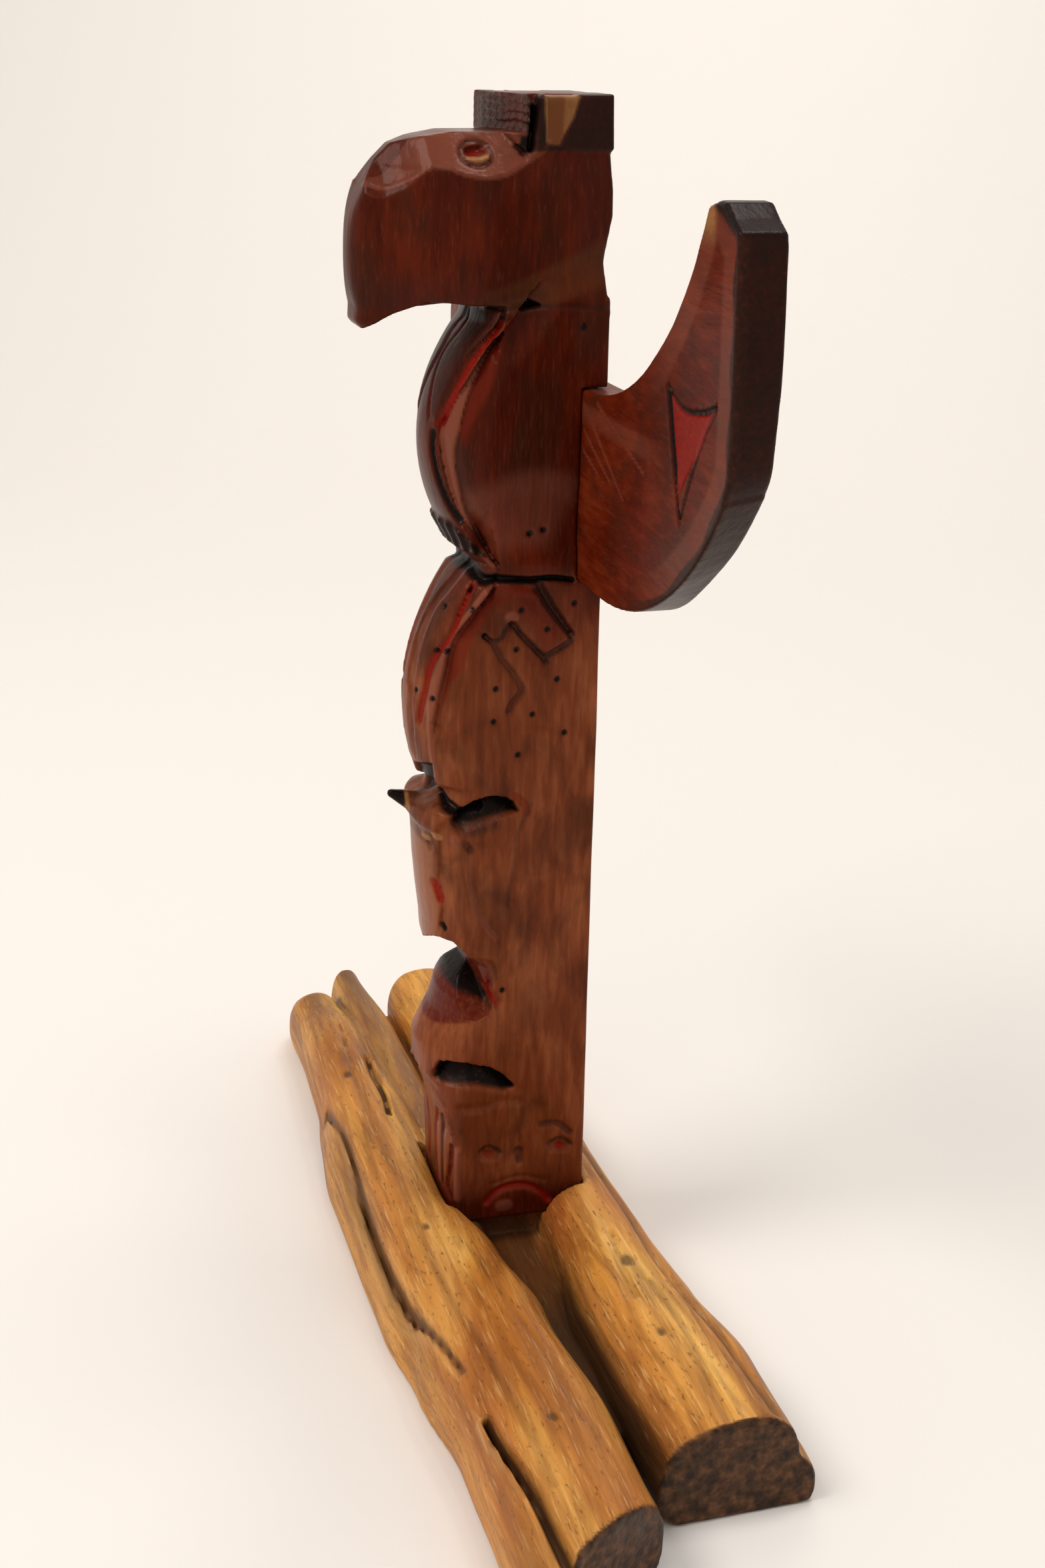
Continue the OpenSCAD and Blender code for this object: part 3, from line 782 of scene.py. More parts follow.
def carve_hat(pole):
    """The squared ear block: rippled front, slot behind its corner, bare wedge, step."""
    def ripples(x, y, z):
        h = z - SEAT_Z
        face = smoothstep(1.6, 0.4, np.abs(hat_gap(x, y))) * smoothstep(HAT_H + 1.0, HAT_H + 2.0, h)
        return 0.6 * face * (0.5 + 0.5 * np.sin(3.2 * h + 0.8 * np.sin(0.35 * x + 1.0)))

    pole.sink(ripples, (-20, -12, SEAT_Z + HAT_H), (20, 0, SEAT_Z + POLE_H + 3))
    pole.paint("soot_and_shade", lambda x, y, z: 0.7 * smoothstep(HAT_H + 0.5, HAT_H + 1.5, z - SEAT_Z)
               * smoothstep(1.4, 0.6, np.abs(hat_gap(x, y))))
    edge = 13.0
    region(pole, [(-2.8, 302), (-0.3, 302), (-1.6, 292), (-2.1, 286.8), (-3.4, 286.8), (-3.0, 294)],
           2.2, 0.35, "black", 1.0, edge)
    region(pole, [(-5.4, 290.6), (-2.8, 290.6), (-2.4, 286.8), (-4.4, 286.5), (-5.7, 288.4)],
           0.7, 0.5, "black", 1.0, edge)
    wedge = [(0.2, 302), (9.4, 302), (7.2, 294.5), (4.0, 288.4), (1.0, 288.6)]
    region(pole, wedge, 0.4, 0.3, "worn", 0.8, edge)
    region(pole, [(5.4, 302), (9.9, 302), (7.4, 294.5), (5.0, 291.2)], 0.0, 0.4, "bare_wood_and_glint", 0.4, edge)
    around = [(-4.0, 302)] + [wedge[0]] + wedge[:0:-1] + [(18.5, 302), (18.5, 287.2), (-4.0, 287.2)]
    region(pole, around, 0.0, 0.4, "soot_and_shade", 1.0, edge)
    region(pole, around, 0.0, 0.4, "black", 0.5, edge)
    # a painted glint along a thin raised strip at the ear block's front corner
    groove(pole, [(0.3, 301), (0.7, 295), (1.0, 289.4)], 0.5, -0.2, "bare_wood_and_glint", 0.6, edge)
    ledge(pole, [(-2.0, 287.0), (6.0, 287.2), (18.5, 287.0)], 9.0, 0.7, 1, edge)


def carve_neck(pole):
    """A worn, shallow band that runs up round the back of the neck."""
    band = [(-12.0, 251.6), (-3.0, 254.0), (6.5, 257.4), (17.5, 262.0)]
    groove(pole, band, 4.0, 0.5, "worn", 0.25, 12.0, 1.4, 6.5)
    groove(pole, [(-27.0, 252.0), (-12.0, 250.6), (4.0, 251.2), (17.0, 250.4)], 0.9, 0.5, "soot_and_shade", 0.5, 12.0)


def tone_skin(pole):
    """The stain is deep red above and browner below the parting line; low on the beak and at the throat under
    it a painted shade darkens it.
    """
    pole.tint("brown", lambda w, h: smoothstep(190.0, 150.0, h) * smoothstep(4.0, 16.0, h))
    pole.tint("soot_and_shade", lambda w, h: 0.35 * smoothstep(250.0, 262.0, h) * smoothstep(4.0, 14.0, w))
    # painted shade under the beak's hook: the front of the head low down and the throat beneath it are
    # darkened
    pole.tint("soot_and_shade", lambda w, h: 0.55 * smoothstep(262.0, 250.0, h) * smoothstep(248.0, 252.0, h)
              * smoothstep(2.0, -8.0, w))


def cut_slot(pole):
    """The slot across the pole's back that takes the wing board."""
    def slot(x, y, z):
        ends = np.maximum(SEAT_Z + SLOT_LOW - z, z - SEAT_Z - SLOT_HIGH)
        return np.maximum(WING_FACE - y, ends) + 0 * x

    pole.cut(slot, (-25, 5, SEAT_Z + SLOT_LOW - 4), (25, 25, SEAT_Z + SLOT_HIGH + 4), 0.3)


def carve_pole():
    pole = Carving(*POLE_BOX, POLE_CELL)
    part, x, y, z = pole.window(pole.low, POLE_BOX[1] + 5)
    pole.field[part] = body_shape(x, y, z)
    carve_head(pole)
    pole.lay_skin(skin_place)
    for carve_detail in (carve_breast, carve_talons, carve_belly, carve_middle_face, carve_lowest_face,
                         carve_eye, carve_crown, carve_hat, carve_neck, tone_skin, carve_mouth, carve_claw,
                         cut_slot):
        carve_detail(pole)
    pole.roughen(0.20, (9.0, 9.0, 22.0), 11)
    pole.roughen(0.10, (3.0, 3.0, 9.0), 12)
    return pole.mesh("carved_pole")


# ---- the wing board -----------------------------------------------------------------
# Outlines are (x, height above the board's lower edge), made for +X and mirrored.

WING_CELL = 0.62
WING_HALF = WING_BOX[1][0]
WING_H = 99.0
LOWER_R = 100.0
CORNER_R = 14.0
UPPER_R = 88.0
UPPER_CENTRE = (20.0, 135.5)


def wing_outline():
    """The board's outline: one long lower arc, rounded tips and a concave upper edge on each side."""
    lower_c = (WING_HALF - 82.5, 99.2)
    corner_x = WING_HALF - CORNER_R
    corner_z = LOWER_R - math.sqrt((LOWER_R - CORNER_R) ** 2 - (corner_x - lower_c[0]) ** 2)
    corner_a = -math.degrees(math.atan2(LOWER_R - corner_z, corner_x - lower_c[0]))
    upper_a = -math.degrees(math.asin((UPPER_CENTRE[1] - WING_H + 1.5) / UPPER_R))
    right = (
        arc(lower_c, LOWER_R, -90.0, corner_a, 18)
        + arc((corner_x, corner_z), CORNER_R, corner_a, 0.0, 6)
        + [(WING_HALF, 66.0), (WING_HALF - 0.8, 90.5), (WING_HALF - 1.5, 93.5), (WING_HALF - 6.0, 96.0)]
        + [(WING_HALF - 10.0, WING_H - 0.2), (WING_HALF - 13.0, WING_H)]
        + arc(UPPER_CENTRE, UPPER_R, upper_a, -90.0, 18)
    )
    return right + [(-px, pz) for px, pz in reversed(right)]


WEDGE_ARC = [(79.2, 58.2), (84.5, 55.6), (91.1, 54.5), (101.7, 55.9), (109.0, 58.2)]
WEDGE_RIGHT = [(109.0, 58.2), (100.4, 48.0), (90.0, 30.5)]
WEDGE_LEFT = [(79.2, 58.2), (85.3, 42.0), (90.0, 30.5)]
WEDGE_LOW = (-112, WING_FACE - 3, WING_BASE + 25)
WEDGE_HIGH = (112, WING_FACE + 4, WING_BASE + 65)
SCRATCHES = (((20, 44), (52, 27), 1.0), ((20, 38), (42, 29), 0.8), ((20, 33), (33, 29), 0.6),
             ((30, 46), (66, 36), 0.7), ((58, 60), (90, 78), 0.7), ((48, 52), (76, 66), 0.6))


def on_face(y):
    """One on the board's front face, fading to nothing just behind it."""
    return smoothstep(WING_FACE + 3.0, WING_FACE + 1.5, y)


def undercut(x, y, up):
    """How far the lower outer edge is cut under towards the back."""
    lower_outer = smoothstep(70.0, 35.0, up) * smoothstep(60.0, 90.0, np.abs(x))
    return 3.0 * lower_outer * (y - WING_FACE) / (WING_BOX[1][1] - WING_FACE)


def carve_wedge_line(wings, points):
    """A black line cut into the face along the points."""
    path = spline(points)

    def ratio(x, z):
        return stroke_distance(path, (1.0, 0.8), np.abs(x), z - WING_BASE)

    wings.sink(lambda x, y, z: np.clip(1.0 - ratio(x, z), 0.0, 1.0) * on_face(y), WEDGE_LOW, WEDGE_HIGH)
    wings.paint("black", lambda x, y, z: smoothstep(0.95, 0.45, ratio(x, z)) * on_face(y))


def carve_wedge(wings):
    """The sunk red wedge on each wing, inside its black lines."""
    for points in (WEDGE_ARC, WEDGE_RIGHT, WEDGE_LEFT):
        carve_wedge_line(wings, points)
    red_area = spline(WEDGE_ARC) + [(100.4, 48.0), (89.4, 36.4), (85.3, 42.0)]

    def in_wedge(x, z):
        return smoothstep(0.3, -0.5, outline_distance(red_area, np.abs(x), z - WING_BASE))

    wings.paint("red", lambda x, y, z: in_wedge(x, z) * on_face(y))
    wings.sink(lambda x, y, z: 0.5 * in_wedge(x, z) * on_face(y), WEDGE_LOW, WEDGE_HIGH)


def paint_wing_edges(wings, outline):
    """Black outer edges and tips, a painted sheen on the face along them, and a bare patch inside each tip.
    """
    def edge_black(x, y, z):
        up = z - WING_BASE
        rim = outline_distance(outline, x, up) + undercut(x, y, up)
        outer = smoothstep(52.0, 84.0, np.abs(x) + 0.15 * up)
        inner_edge = np.hypot(np.abs(x) - UPPER_CENTRE[0], up - UPPER_CENTRE[1]) - UPPER_R
        band = smoothstep(-2.3, -1.6, rim + 0.5 * np.sin(0.4 * z))
        return band * outer * smoothstep(3.0, 7.0, inner_edge)

    def tip_black(x, y, z):
        return 0.9 * smoothstep(94.0, 96.0, z - WING_BASE + 0.35 * (np.abs(x) - 110.0))

    wings.paint("soot_and_shade", edge_black)
    wings.paint("black", lambda x, y, z: 0.5 * edge_black(x, y, z))
    # a painted sheen on the face, just inside the outer rim
    wings.paint("pale", lambda x, y, z: 0.40 * on_face(y) * smoothstep(60.0, 90.0, np.abs(x))
                * smoothstep(-9.0, -7.0, outline_distance(outline, x, z - WING_BASE)))
    wings.paint("black", tip_black)
    wings.paint("bare_wood_and_glint", lambda x, y, z: 0.7 * smoothstep(88.0, 95.0, z - WING_BASE)
                * smoothstep(106.0, 102.0, np.abs(x)) * on_face(y))


def scratch_paint(start, end, width):
    """The weight of one fine scratch on the face."""
    def weight(x, y, z):
        ratio = stroke_distance([start, end], (width, 0.5), np.abs(x), z - WING_BASE)
        return 0.5 * on_face(y) * smoothstep(1.0, 0.3, ratio)
    return weight


def paint_wing_wear(wings):
    """A pale worn band, and fine slanting scratches beside the pole."""
    wings.paint("pale", lambda x, y, z: 0.35 * smoothstep(3.4, 1.4, np.abs(z - WING_BASE - 42.0))
                * on_face(y) * smoothstep(84.0, 60.0, np.abs(x)))
    for scratch in SCRATCHES:
        wings.paint("pale", scratch_paint(*scratch))


def carve_wings():
    low, high = WING_BOX
    wings = Carving(low, high, WING_CELL)
    outline = wing_outline()
    middle_y = (low[1] + high[1]) / 2
    half_t = (high[1] - low[1]) / 2
    up = wings.z - WING_BASE
    edge = outline_distance(outline, wings.x, up) + undercut(wings.x, wings.y, up)
    wings.field = smooth_max(edge, np.abs(wings.y - middle_y) - half_t, 0.9).astype(np.float32)
    carve_wedge(wings)
    paint_wing_edges(wings, outline)
    paint_wing_wear(wings)
    wings.roughen(0.14, (26.0, 8.0, 12.0), 21)
    wings.roughen(0.09, (9.0, 4.0, 3.0), 22)
    return wings.mesh("carved_wings")


# ---- the driftwood --------------------------------------------------------------------
# Stations along X, as in the CAD source: [x, middle y, half width, crown height].

BASE_CELL = 0.85
LIMBS = {
    "front": [(-147, -34, 4.5, 15), (-129, -31.5, 8.5, 24), (-90, -29, 11.5, 26.5), (-40, -28, 14, 27.5),
              (10, -29, 12.5, 27.5), (36, -25.5, 15.5, 28), (64, -22.5, 17.5, 28), (110, -19.5, 18, 27.5),
              (175, -19.5, 18.5, 27)],
    "middle": [(-152, -18, 3, 19), (-144, -18, 5.5, 25), (-100, -17, 8.5, 26), (-60, -16, 8.5, 25),
               (-20, -15, 6, 20)],
    "back": [(-146, 6, 8, 20), (-134, 8, 13, 26), (-90, 12, 17, 27), (-40, 14.5, 16, 28),
             (10, 18.7, 12.3, 29), (40, 18.5, 13.8, 28.5), (70, 17.7, 16.6, 28), (100, 20.2, 19, 28.5),
             (140, 21, 18, 27.5)],
    "strand": [(-72, -38.5, 3, 10), (-30, -41, 4.2, 16), (10, -41, 4, 15.5), (40, -40.5, 4, 15),
               (70, -37.5, 4, 14), (100, -33.7, 4.2, 15), (130, -33, 4.7, 18), (175, -33.5, 5.2, 18)],
    "bark": [(62, 32, 3, 7), (96, 35, 7, 13), (118, 36, 8, 14), (140, 35, 7.5, 14)],
}
BURIED = 3.0
WEB_TOP = 12.0
SADDLE_TOP = 22.0
SEAT_ROOM = 0.5
WEB = [(-130, -26), (-110, -32), (72, -22), (108, -12), (108, 2), (72, 12), (-110, 14), (-130, 4)]
FRONT_SAW = ((158.0, -21.0), 32.0)
BACK_SAW = ((130.0, 18.0), 1.5)


def station(rows, x, column):
    """A station value at x, eased between its rows."""
    places = [row[0] for row in rows]
    index = np.clip(np.searchsorted(places, x) - 1, 0, len(rows) - 2)
    table = np.array(rows, float)
    start, end = table[index], table[index + 1]
    t = np.clip((x - start[..., 0]) / (end[..., 0] - start[..., 0]), 0.0, 1.0)
    ease = t * t * (3.0 - 2.0 * t)
    return start[..., column] + (end[..., column] - start[..., column]) * ease


def limb_shape(rows, x, y, z):
    """A limb with oval sections that follow its stations, rounded at its far end."""
    middle = station(rows, x, 1)
    half = station(rows, x, 2)
    top = station(rows, x, 3)
    centre = (top - BURIED) / 2
    height = (top + BURIED) / 2
    power = 2.35
    oval = (np.abs((y - middle) / half) ** power + np.abs((z - centre) / height) ** power) ** (1.0 / power)
    side = (oval - 1.0) * np.minimum(half, height)
    return smooth_max(side, rows[0][0] - x, 9.0)


def past_saw(x, y, saw):
    """How far a point lies past a saw cut, which is a place and a turn in degrees."""
    place, angle = saw
    turn = math.radians(angle)
    return (x - place[0]) * math.cos(turn) + (y - place[1]) * math.sin(turn)


# Splits seen from above: (points as (x, y), half widths, depth).
SPLITS = [
    ([(-57, -41.2), (-37, -40.2), (-13, -40.2), (7, -41), (30, -40.9), (48, -39.9), (62, -38.4), (90, -34.4)],
     (0.8, 1.0), 1.2),
    ([(108, -33.4), (118, -32.8), (130, -31.4), (142, -30.1), (168, -29)], (1.2, 2.6), 3.6),
    ([(-74, -24.6), (-62, -25.4), (-49, -24.9), (-35, -26.1)], (1.6, 1.2), 2.4),
    ([(-98, -29), (-60, -31.5), (-24, -33)], (1.3, 1.1), 0.8),
    ([(24, -33), (60, -31), (100, -27.5), (140, -26)], (1.4, 1.6), 0.9),
    ([(40, -21), (80, -16), (120, -13)], (1.2, 1.4), 0.7),
    ([(-20, 24), (30, 26), (62, 26), (98, 31), (126, 33)], (1.4, 2.0), 1.2),
    ([(46, 18), (62, 15), (76, 14.4)], (1.3, 1.5), 0.9),
    ([(70, 20.5), (96, 22), (128, 20)], (1.2, 1.4), 0.8),
    ([(-120, 15), (-70, 20), (-20, 22)], (1.4, 1.8), 1.4),
    ([(-110, 2), (-60, 6), (-24, 9)], (1.3, 1.5), 1.0),
]
KNOTS = [(60.0, 17.5, 2.6), (92.0, 16.0, 1.6), (30.0, -30.0, 1.5), (118.0, -20.0, 1.8), (-64.0, -33.0, 2.0)]


def split_paint(path, widths, darkness):
    """The weight of the painted shade that one split gets."""
    def weight(x, y, z):
        ratio = stroke_distance(path, widths, x, y)
        return darkness * smoothstep(0.9, 0.2, ratio) * smoothstep(8.0, 12.0, z)
    return weight


def carve_splits(base, limbs):
    """Sinks the drying splits into the limbs and darkens them with painted shade."""
    for points, widths, depth in SPLITS:
        path = spline(points)
        ratio = stroke_distance(path, widths, base.x, base.y)
        split = depth * np.clip(1.0 - ratio, 0.0, 1.0) * smoothstep(5.0, 11.0, base.z)
        limbs = [limb + split for limb in limbs]
        # painted shade in the split
        base.paint("dark", split_paint(path, widths, min(0.85, 0.27 * depth)))
    return limbs


def knot_gap(knot, x, y):
    """Distance from a knot's middle over its radius; knots are drawn out along the grain."""
    kx, ky, radius = knot
    return np.hypot((x - kx) / 1.6, y - ky) / radius


def knot_paint(knot):
    """The weight of the dark that one knot leaves."""
    def weight(x, y, z):
        return 0.8 * smoothstep(18.0, 22.0, z) * smoothstep(0.9, 0.4, knot_gap(knot, x, y))
    return weight


def carve_knots(base, limbs):
    """Sinks the small knots into the limbs and darkens them."""
    for knot in KNOTS:
        pit = 0.7 * np.clip(1.0 - knot_gap(knot, base.x, base.y), 0.0, 1.0) * smoothstep(18.0, 22.0, base.z)
        limbs = [limb + pit for limb in limbs]
        base.paint("dark", knot_paint(knot))
    return limbs


def grow_limbs(x, y, z):
    """Front limb, back limb and the core between them; the limbs wander a little."""
    sway_y = 1.1 * np.sin(x / 23.0 + 0.6) + 0.6 * np.sin(x / 9.0 + 2.0)
    sway_z = 0.6 * np.sin(x / 17.0 + 1.0)
    front = limb_shape(LIMBS["front"], x, y - 0.4 * sway_y, z - sway_z)
    front = smooth_min(front, limb_shape(LIMBS["strand"], x, y, z), 2.4)
    back = limb_shape(LIMBS["back"], x, y + 0.4 * sway_y, z + sway_z)
    back = smooth_min(back, limb_shape(LIMBS["bark"], x, y, z), 1.6)
    middle = limb_shape(LIMBS["middle"], x, y, z)
    web = np.maximum(outline_distance(WEB, x, y), z - WEB_TOP)
    saddle = np.maximum(np.maximum(np.abs(x + 9.0) - 23.0, np.abs(y + 5.0) - 22.0), z - SADDLE_TOP)
    core = smooth_min(smooth_min(middle, web, 2.0), saddle, 2.0)
    return front, back, np.maximum(core, x + 0.3 * np.maximum(-x, 0.0) - 112.0)


def pole_seat(x, y, z):
    """The space that the pole's foot takes, with a little room round it."""
    front = front_depth(8.0) + SEAT_ROOM
    sides = np.maximum(np.abs(x) - HALF_W - SEAT_ROOM, SEAT_Z - z)
    return np.maximum(sides, np.maximum(-y - front, y - POLE_BACK - SEAT_ROOM))


def paint_base(base):
    """Sawn end grain, a painted shadow in the cleft under the pole, dark bark, and a ruddy stain round the
    pole.
    """
    def end_grain(x, y, z):
        return np.where(y < 0.5, smoothstep(-0.9, -0.3, past_saw(x, y, FRONT_SAW)),
                        smoothstep(-0.9, -0.3, past_saw(x, y, BACK_SAW)))

    # painted shadow: the cleft between the limbs, under the pole's foot, is darkened
    def cleft_shadow(x, y, z):
        return (smoothstep(25.0, 18.0, z) * smoothstep(13.0, 8.0, np.abs(y + 5.5))
                * smoothstep(4.0, 10.0, x) * (0.86 + 0.14 * smoothstep(40.0, 70.0, x)))

    def bark(x, y, z):
        return 0.75 * smoothstep(14.0, 8.0, z) * smoothstep(30.0, 34.0, y) * smoothstep(56.0, 80.0, x)

    base.paint("end_grain", end_grain)
    base.paint("dark", cleft_shadow)
    base.paint("dark", bark)
    base.paint("ruddy", lambda x, y, z: smoothstep(46.0, 14.0, np.hypot(x - 14.0, 1.6 * (y + 2.0))))


def carve_base():
    base = Carving(*BASE_BOX, BASE_CELL)
    x, y, z = base.x, base.y, base.z
    front, back, core = grow_limbs(x, y, z)
    noise = 0.60 * lattice_noise(base.shape, base.cell, (46.0, 9.0, 9.0), 31)
    noise += 0.34 * lattice_noise(base.shape, base.cell, (24.0, 3.2, 3.2), 32)
    noise += 0.15 * lattice_noise(base.shape, base.cell, (7.0, 1.6, 1.6), 33)
    lumps = 1.5 * lattice_noise(base.shape, base.cell, (26.0, 10.0, 10.0), 35)
    limbs = [front + noise, back + noise + lumps * smoothstep(80.0, 122.0, x)]
    front, back = carve_knots(base, carve_splits(base, limbs))
    saw_marks = 0.3 * lattice_noise(base.shape, base.cell, (2.2, 2.2, 2.2), 34)
    front = smooth_max(front, past_saw(x, y, FRONT_SAW) + saw_marks, 0.7)
    back = smooth_max(back, past_saw(x, y, BACK_SAW) + saw_marks, 0.7)
    field = smooth_min(front, smooth_min(back, core + 0.5 * noise, 1.5), 0.9)
    # the pole's seat and the rubbed underside stay flat
    field = smooth_max(field, -pole_seat(x, y, z), 0.5)
    base.field = smooth_max(field, -z, 0.6).astype(np.float32)
    paint_base(base)
    return base.mesh("driftwood")


# ---- material helpers -------------------------------------------------------------------
# A helper that makes a value or a colour returns its output, so that one can feed the next.

def new_material(name):
    """A new material, its node tree and its shader's inputs."""
    material = bpy.data.materials.new(name)
    material.use_nodes = True
    tree = material.node_tree
    return material, tree, tree.nodes["Principled BSDF"].inputs


def add_node(tree, kind, inputs):
    """A node with its inputs set: each value is a number, a vector or another node's output."""
    node = tree.nodes.new(kind)
    for key, value in inputs.items():
        if isinstance(value, bpy.types.NodeSocket):
            tree.links.new(value, node.inputs[key])
        else:
            node.inputs[key].default_value = value
    return node


def calculate(tree, operation, *values):
    node = add_node(tree, "ShaderNodeMath", dict(enumerate(values)))
    node.operation = operation
    return node.outputs[0]


def colour_ramp(tree, factor, stops):
    ramp = add_node(tree, "ShaderNodeValToRGB", {"Fac": factor})
    elements = ramp.color_ramp.elements
    while len(elements) < len(stops):
        elements.new(0.5)
    for element, (place, colour) in zip(elements, stops):
        element.position = place
        element.color = (*colour, 1.0)
    return ramp.outputs["Color"]


def remap(tree, value, low, high, from_low=0.0, from_high=1.0):
    """Stretches a value from one range to another."""
    node = add_node(tree, "ShaderNodeMapRange", {"Value": value, "From Min": from_low,
                                                 "From Max": from_high, "To Min": low, "To Max": high})
    return node.outputs["Result"]


def attribute(tree, name):
    """A paint or a wear that the carving wrote on the mesh."""
    node = tree.nodes.new("ShaderNodeAttribute")
    node.attribute_name = name
    return node.outputs["Fac"]


def worn_away(tree, factor, noise, low, high):
    """Breaks a paint's edge up with noise, so it looks brushed on and rubbed."""
    return calculate(tree, "MULTIPLY", factor, remap(tree, noise, 0.55, 1.0, low, high))


def mix_colour(tree, below, factor, above, share=1.0, blend="MIX"):
    """Lays a colour, or another output, over what is below, as strongly as the factor says."""
    if share != 1.0:
        factor = calculate(tree, "MULTIPLY", factor, share)
    if isinstance(above, tuple):
        above = (*above, 1.0)
    mix = tree.nodes.new("ShaderNodeMix")
    mix.data_type = "RGBA"
    mix.blend_type = blend
    for slot, value in ((0, factor), (6, below), (7, above)):
        if isinstance(value, bpy.types.NodeSocket):
            tree.links.new(value, mix.inputs[slot])
        else:
            mix.inputs[slot].default_value = value
    return mix.outputs[2]


def stretched_noise(tree, scale, stretch, detail=6.0, distortion=0.0):
    """Noise in object space, drawn out along one axis (stretch is the scale on each axis)."""
    coords = tree.nodes.new("ShaderNodeTexCoord")
    mapping = add_node(tree, "ShaderNodeMapping", {"Vector": coords.outputs["Object"], "Scale": stretch})
    noise = add_node(tree, "ShaderNodeTexNoise", {"Vector": mapping.outputs["Vector"], "Scale": scale,
                                                  "Detail": detail, "Distortion": distortion})
    return noise.outputs["Fac"]


def wood_finish(tree, shader, relief, specular, tint, coat, coat_roughness):
    """Bump in layers, each laid on the one before, under a soft sheen and a thin coat."""
    normal = None
    for height, strength, distance in relief:
        inputs = {"Height": height, "Strength": strength, "Distance": distance}
        if normal is not None:
            inputs["Normal"] = normal
        normal = add_node(tree, "ShaderNodeBump", inputs).outputs["Normal"]
    tree.links.new(normal, shader["Normal"])
    tree.links.new(normal, shader["Coat Normal"])
    shader["Specular IOR Level"].default_value = specular
    shader["Specular Tint"].default_value = (*tint, 1.0)
    shader["Coat Weight"].default_value = coat
    shader["Coat Roughness"].default_value = coat_roughness


# ---- materials ------------------------------------------------------------------------------

WOOD_TONES = (  # attribute, colour, share
    ("ember", (0.13, 0.009, 0.003), 0.7),
    ("worn", (0.17, 0.060, 0.020), 0.9),
    # pale: painted sheen and highlights on the pole's facets, ridges and bumps and on the wing's rim, and
    # pale wear on the wing
    ("pale", (0.235, 0.066, 0.038), 0.75),
)
PAINTS = (  # attribute, colour, share, how rubbed it is
    # soot: dark paint in the cuts, and the painted shade low on the beak
    ("soot_and_shade", (0.022, 0.010, 0.008), 0.85, (0.25, 0.6)),
    # bare: bare wood, and painted glints on small bumps, rims and corners
    ("bare_wood_and_glint", (0.36, 0.17, 0.06), 1.0, (0.25, 0.6)),
    ("dark_red", (0.085, 0.004, 0.002), 1.0, (0.25, 0.6)),
    ("red", (0.22, 0.007, 0.003), 1.0, (0.25, 0.6)),
    ("black", (0.004, 0.003, 0.003), 1.0, (0.2, 0.4)),
)


def lacquered_wood(name, stretch, tones, brown, gloss, scale=55.0):
    """Stained, lacquered carving wood with paint in its cuts; grain runs along the low stretch axis."""
    material, tree, shader = new_material(name)
    grain = stretched_noise(tree, scale * 9, stretch, 8.0, 0.4)
    mottle = stretched_noise(tree, scale, tuple(0.4 + 0.6 * s for s in stretch), 5.0)
    pores = stretched_noise(tree, scale * 28, stretch, 3.0)
    speckle = stretched_noise(tree, scale * 14, (1.0, 1.0, 1.0), 4.0)
    stain = stretched_noise(tree, scale * 1.4, tuple(0.6 + 0.4 * s for s in stretch), 8.0, 0.8)
    depth = calculate(tree, "MULTIPLY_ADD", grain, 0.45, remap(tree, mottle, 0.0, 0.6))
    colour = mix_colour(tree, colour_ramp(tree, depth, tones), attribute(tree, "brown"),
                        colour_ramp(tree, depth, brown))
    colour = mix_colour(tree, colour, remap(tree, stain, 0.0, 1.0, 0.47, 0.66), (0.026, 0.008, 0.0035), 0.55)
    colour = mix_colour(tree, colour, remap(tree, pores, 0.0, 1.0, 0.56, 0.74), (0.26, 0.085, 0.040), 0.12)
    for layer, tone, share in WOOD_TONES:
        colour = mix_colour(tree, colour, attribute(tree, layer), tone, share)
    # wear rubs the ridges lighter; a painted shade darkens the hollows
    rubbed = remap(tree, attribute(tree, "ridge"), 0.0, 1.0, 0.36, 0.80)
    crevice_shade = remap(tree, attribute(tree, "hollow"), 0.0, 1.0, 0.22, 0.80)
    colour = mix_colour(tree, colour, rubbed, (0.24, 0.060, 0.028), 0.40)
    colour = mix_colour(tree, colour, crevice_shade, (0.010, 0.004, 0.003), 0.75)
    for layer, tone, share, wear in PAINTS:
        paint = worn_away(tree, attribute(tree, layer), speckle, *wear)
        colour = mix_colour(tree, colour, paint, tone, share)
    tree.links.new(colour, shader["Base Color"])
    rough = remap(tree, mottle, gloss - 0.06, gloss + 0.14, 0.3, 0.7)
    polished = calculate(tree, "MULTIPLY_ADD", attribute(tree, "pale"), -0.06, rough)
    tree.links.new(polished, shader["Roughness"])
    relief = ((pores, 0.2, 0.0002), (grain, 0.35, 0.0005))
    wood_finish(tree, shader, relief, 0.08, (1.0, 0.50, 0.30), 0.10, 0.18)
    return material


def pole_wood():
    return lacquered_wood(
        "carved_wood", (1.0, 1.0, 0.16),
        [(0.28, (0.022, 0.0030, 0.0012)), (0.50, (0.060, 0.0058, 0.0014)), (0.72, (0.120, 0.013, 0.003))],
        [(0.28, (0.062, 0.012, 0.0040)), (0.50, (0.165, 0.036, 0.011)), (0.72, (0.300, 0.088, 0.032))], 0.32)


def wing_wood():
    tones = [(0.28, (0.036, 0.0036, 0.0008)), (0.50, (0.092, 0.0076, 0.0011)), (0.72, (0.165, 0.022, 0.005))]
    return lacquered_wood("wing_wood", (0.2, 1.0, 1.0), tones, tones, 0.38)


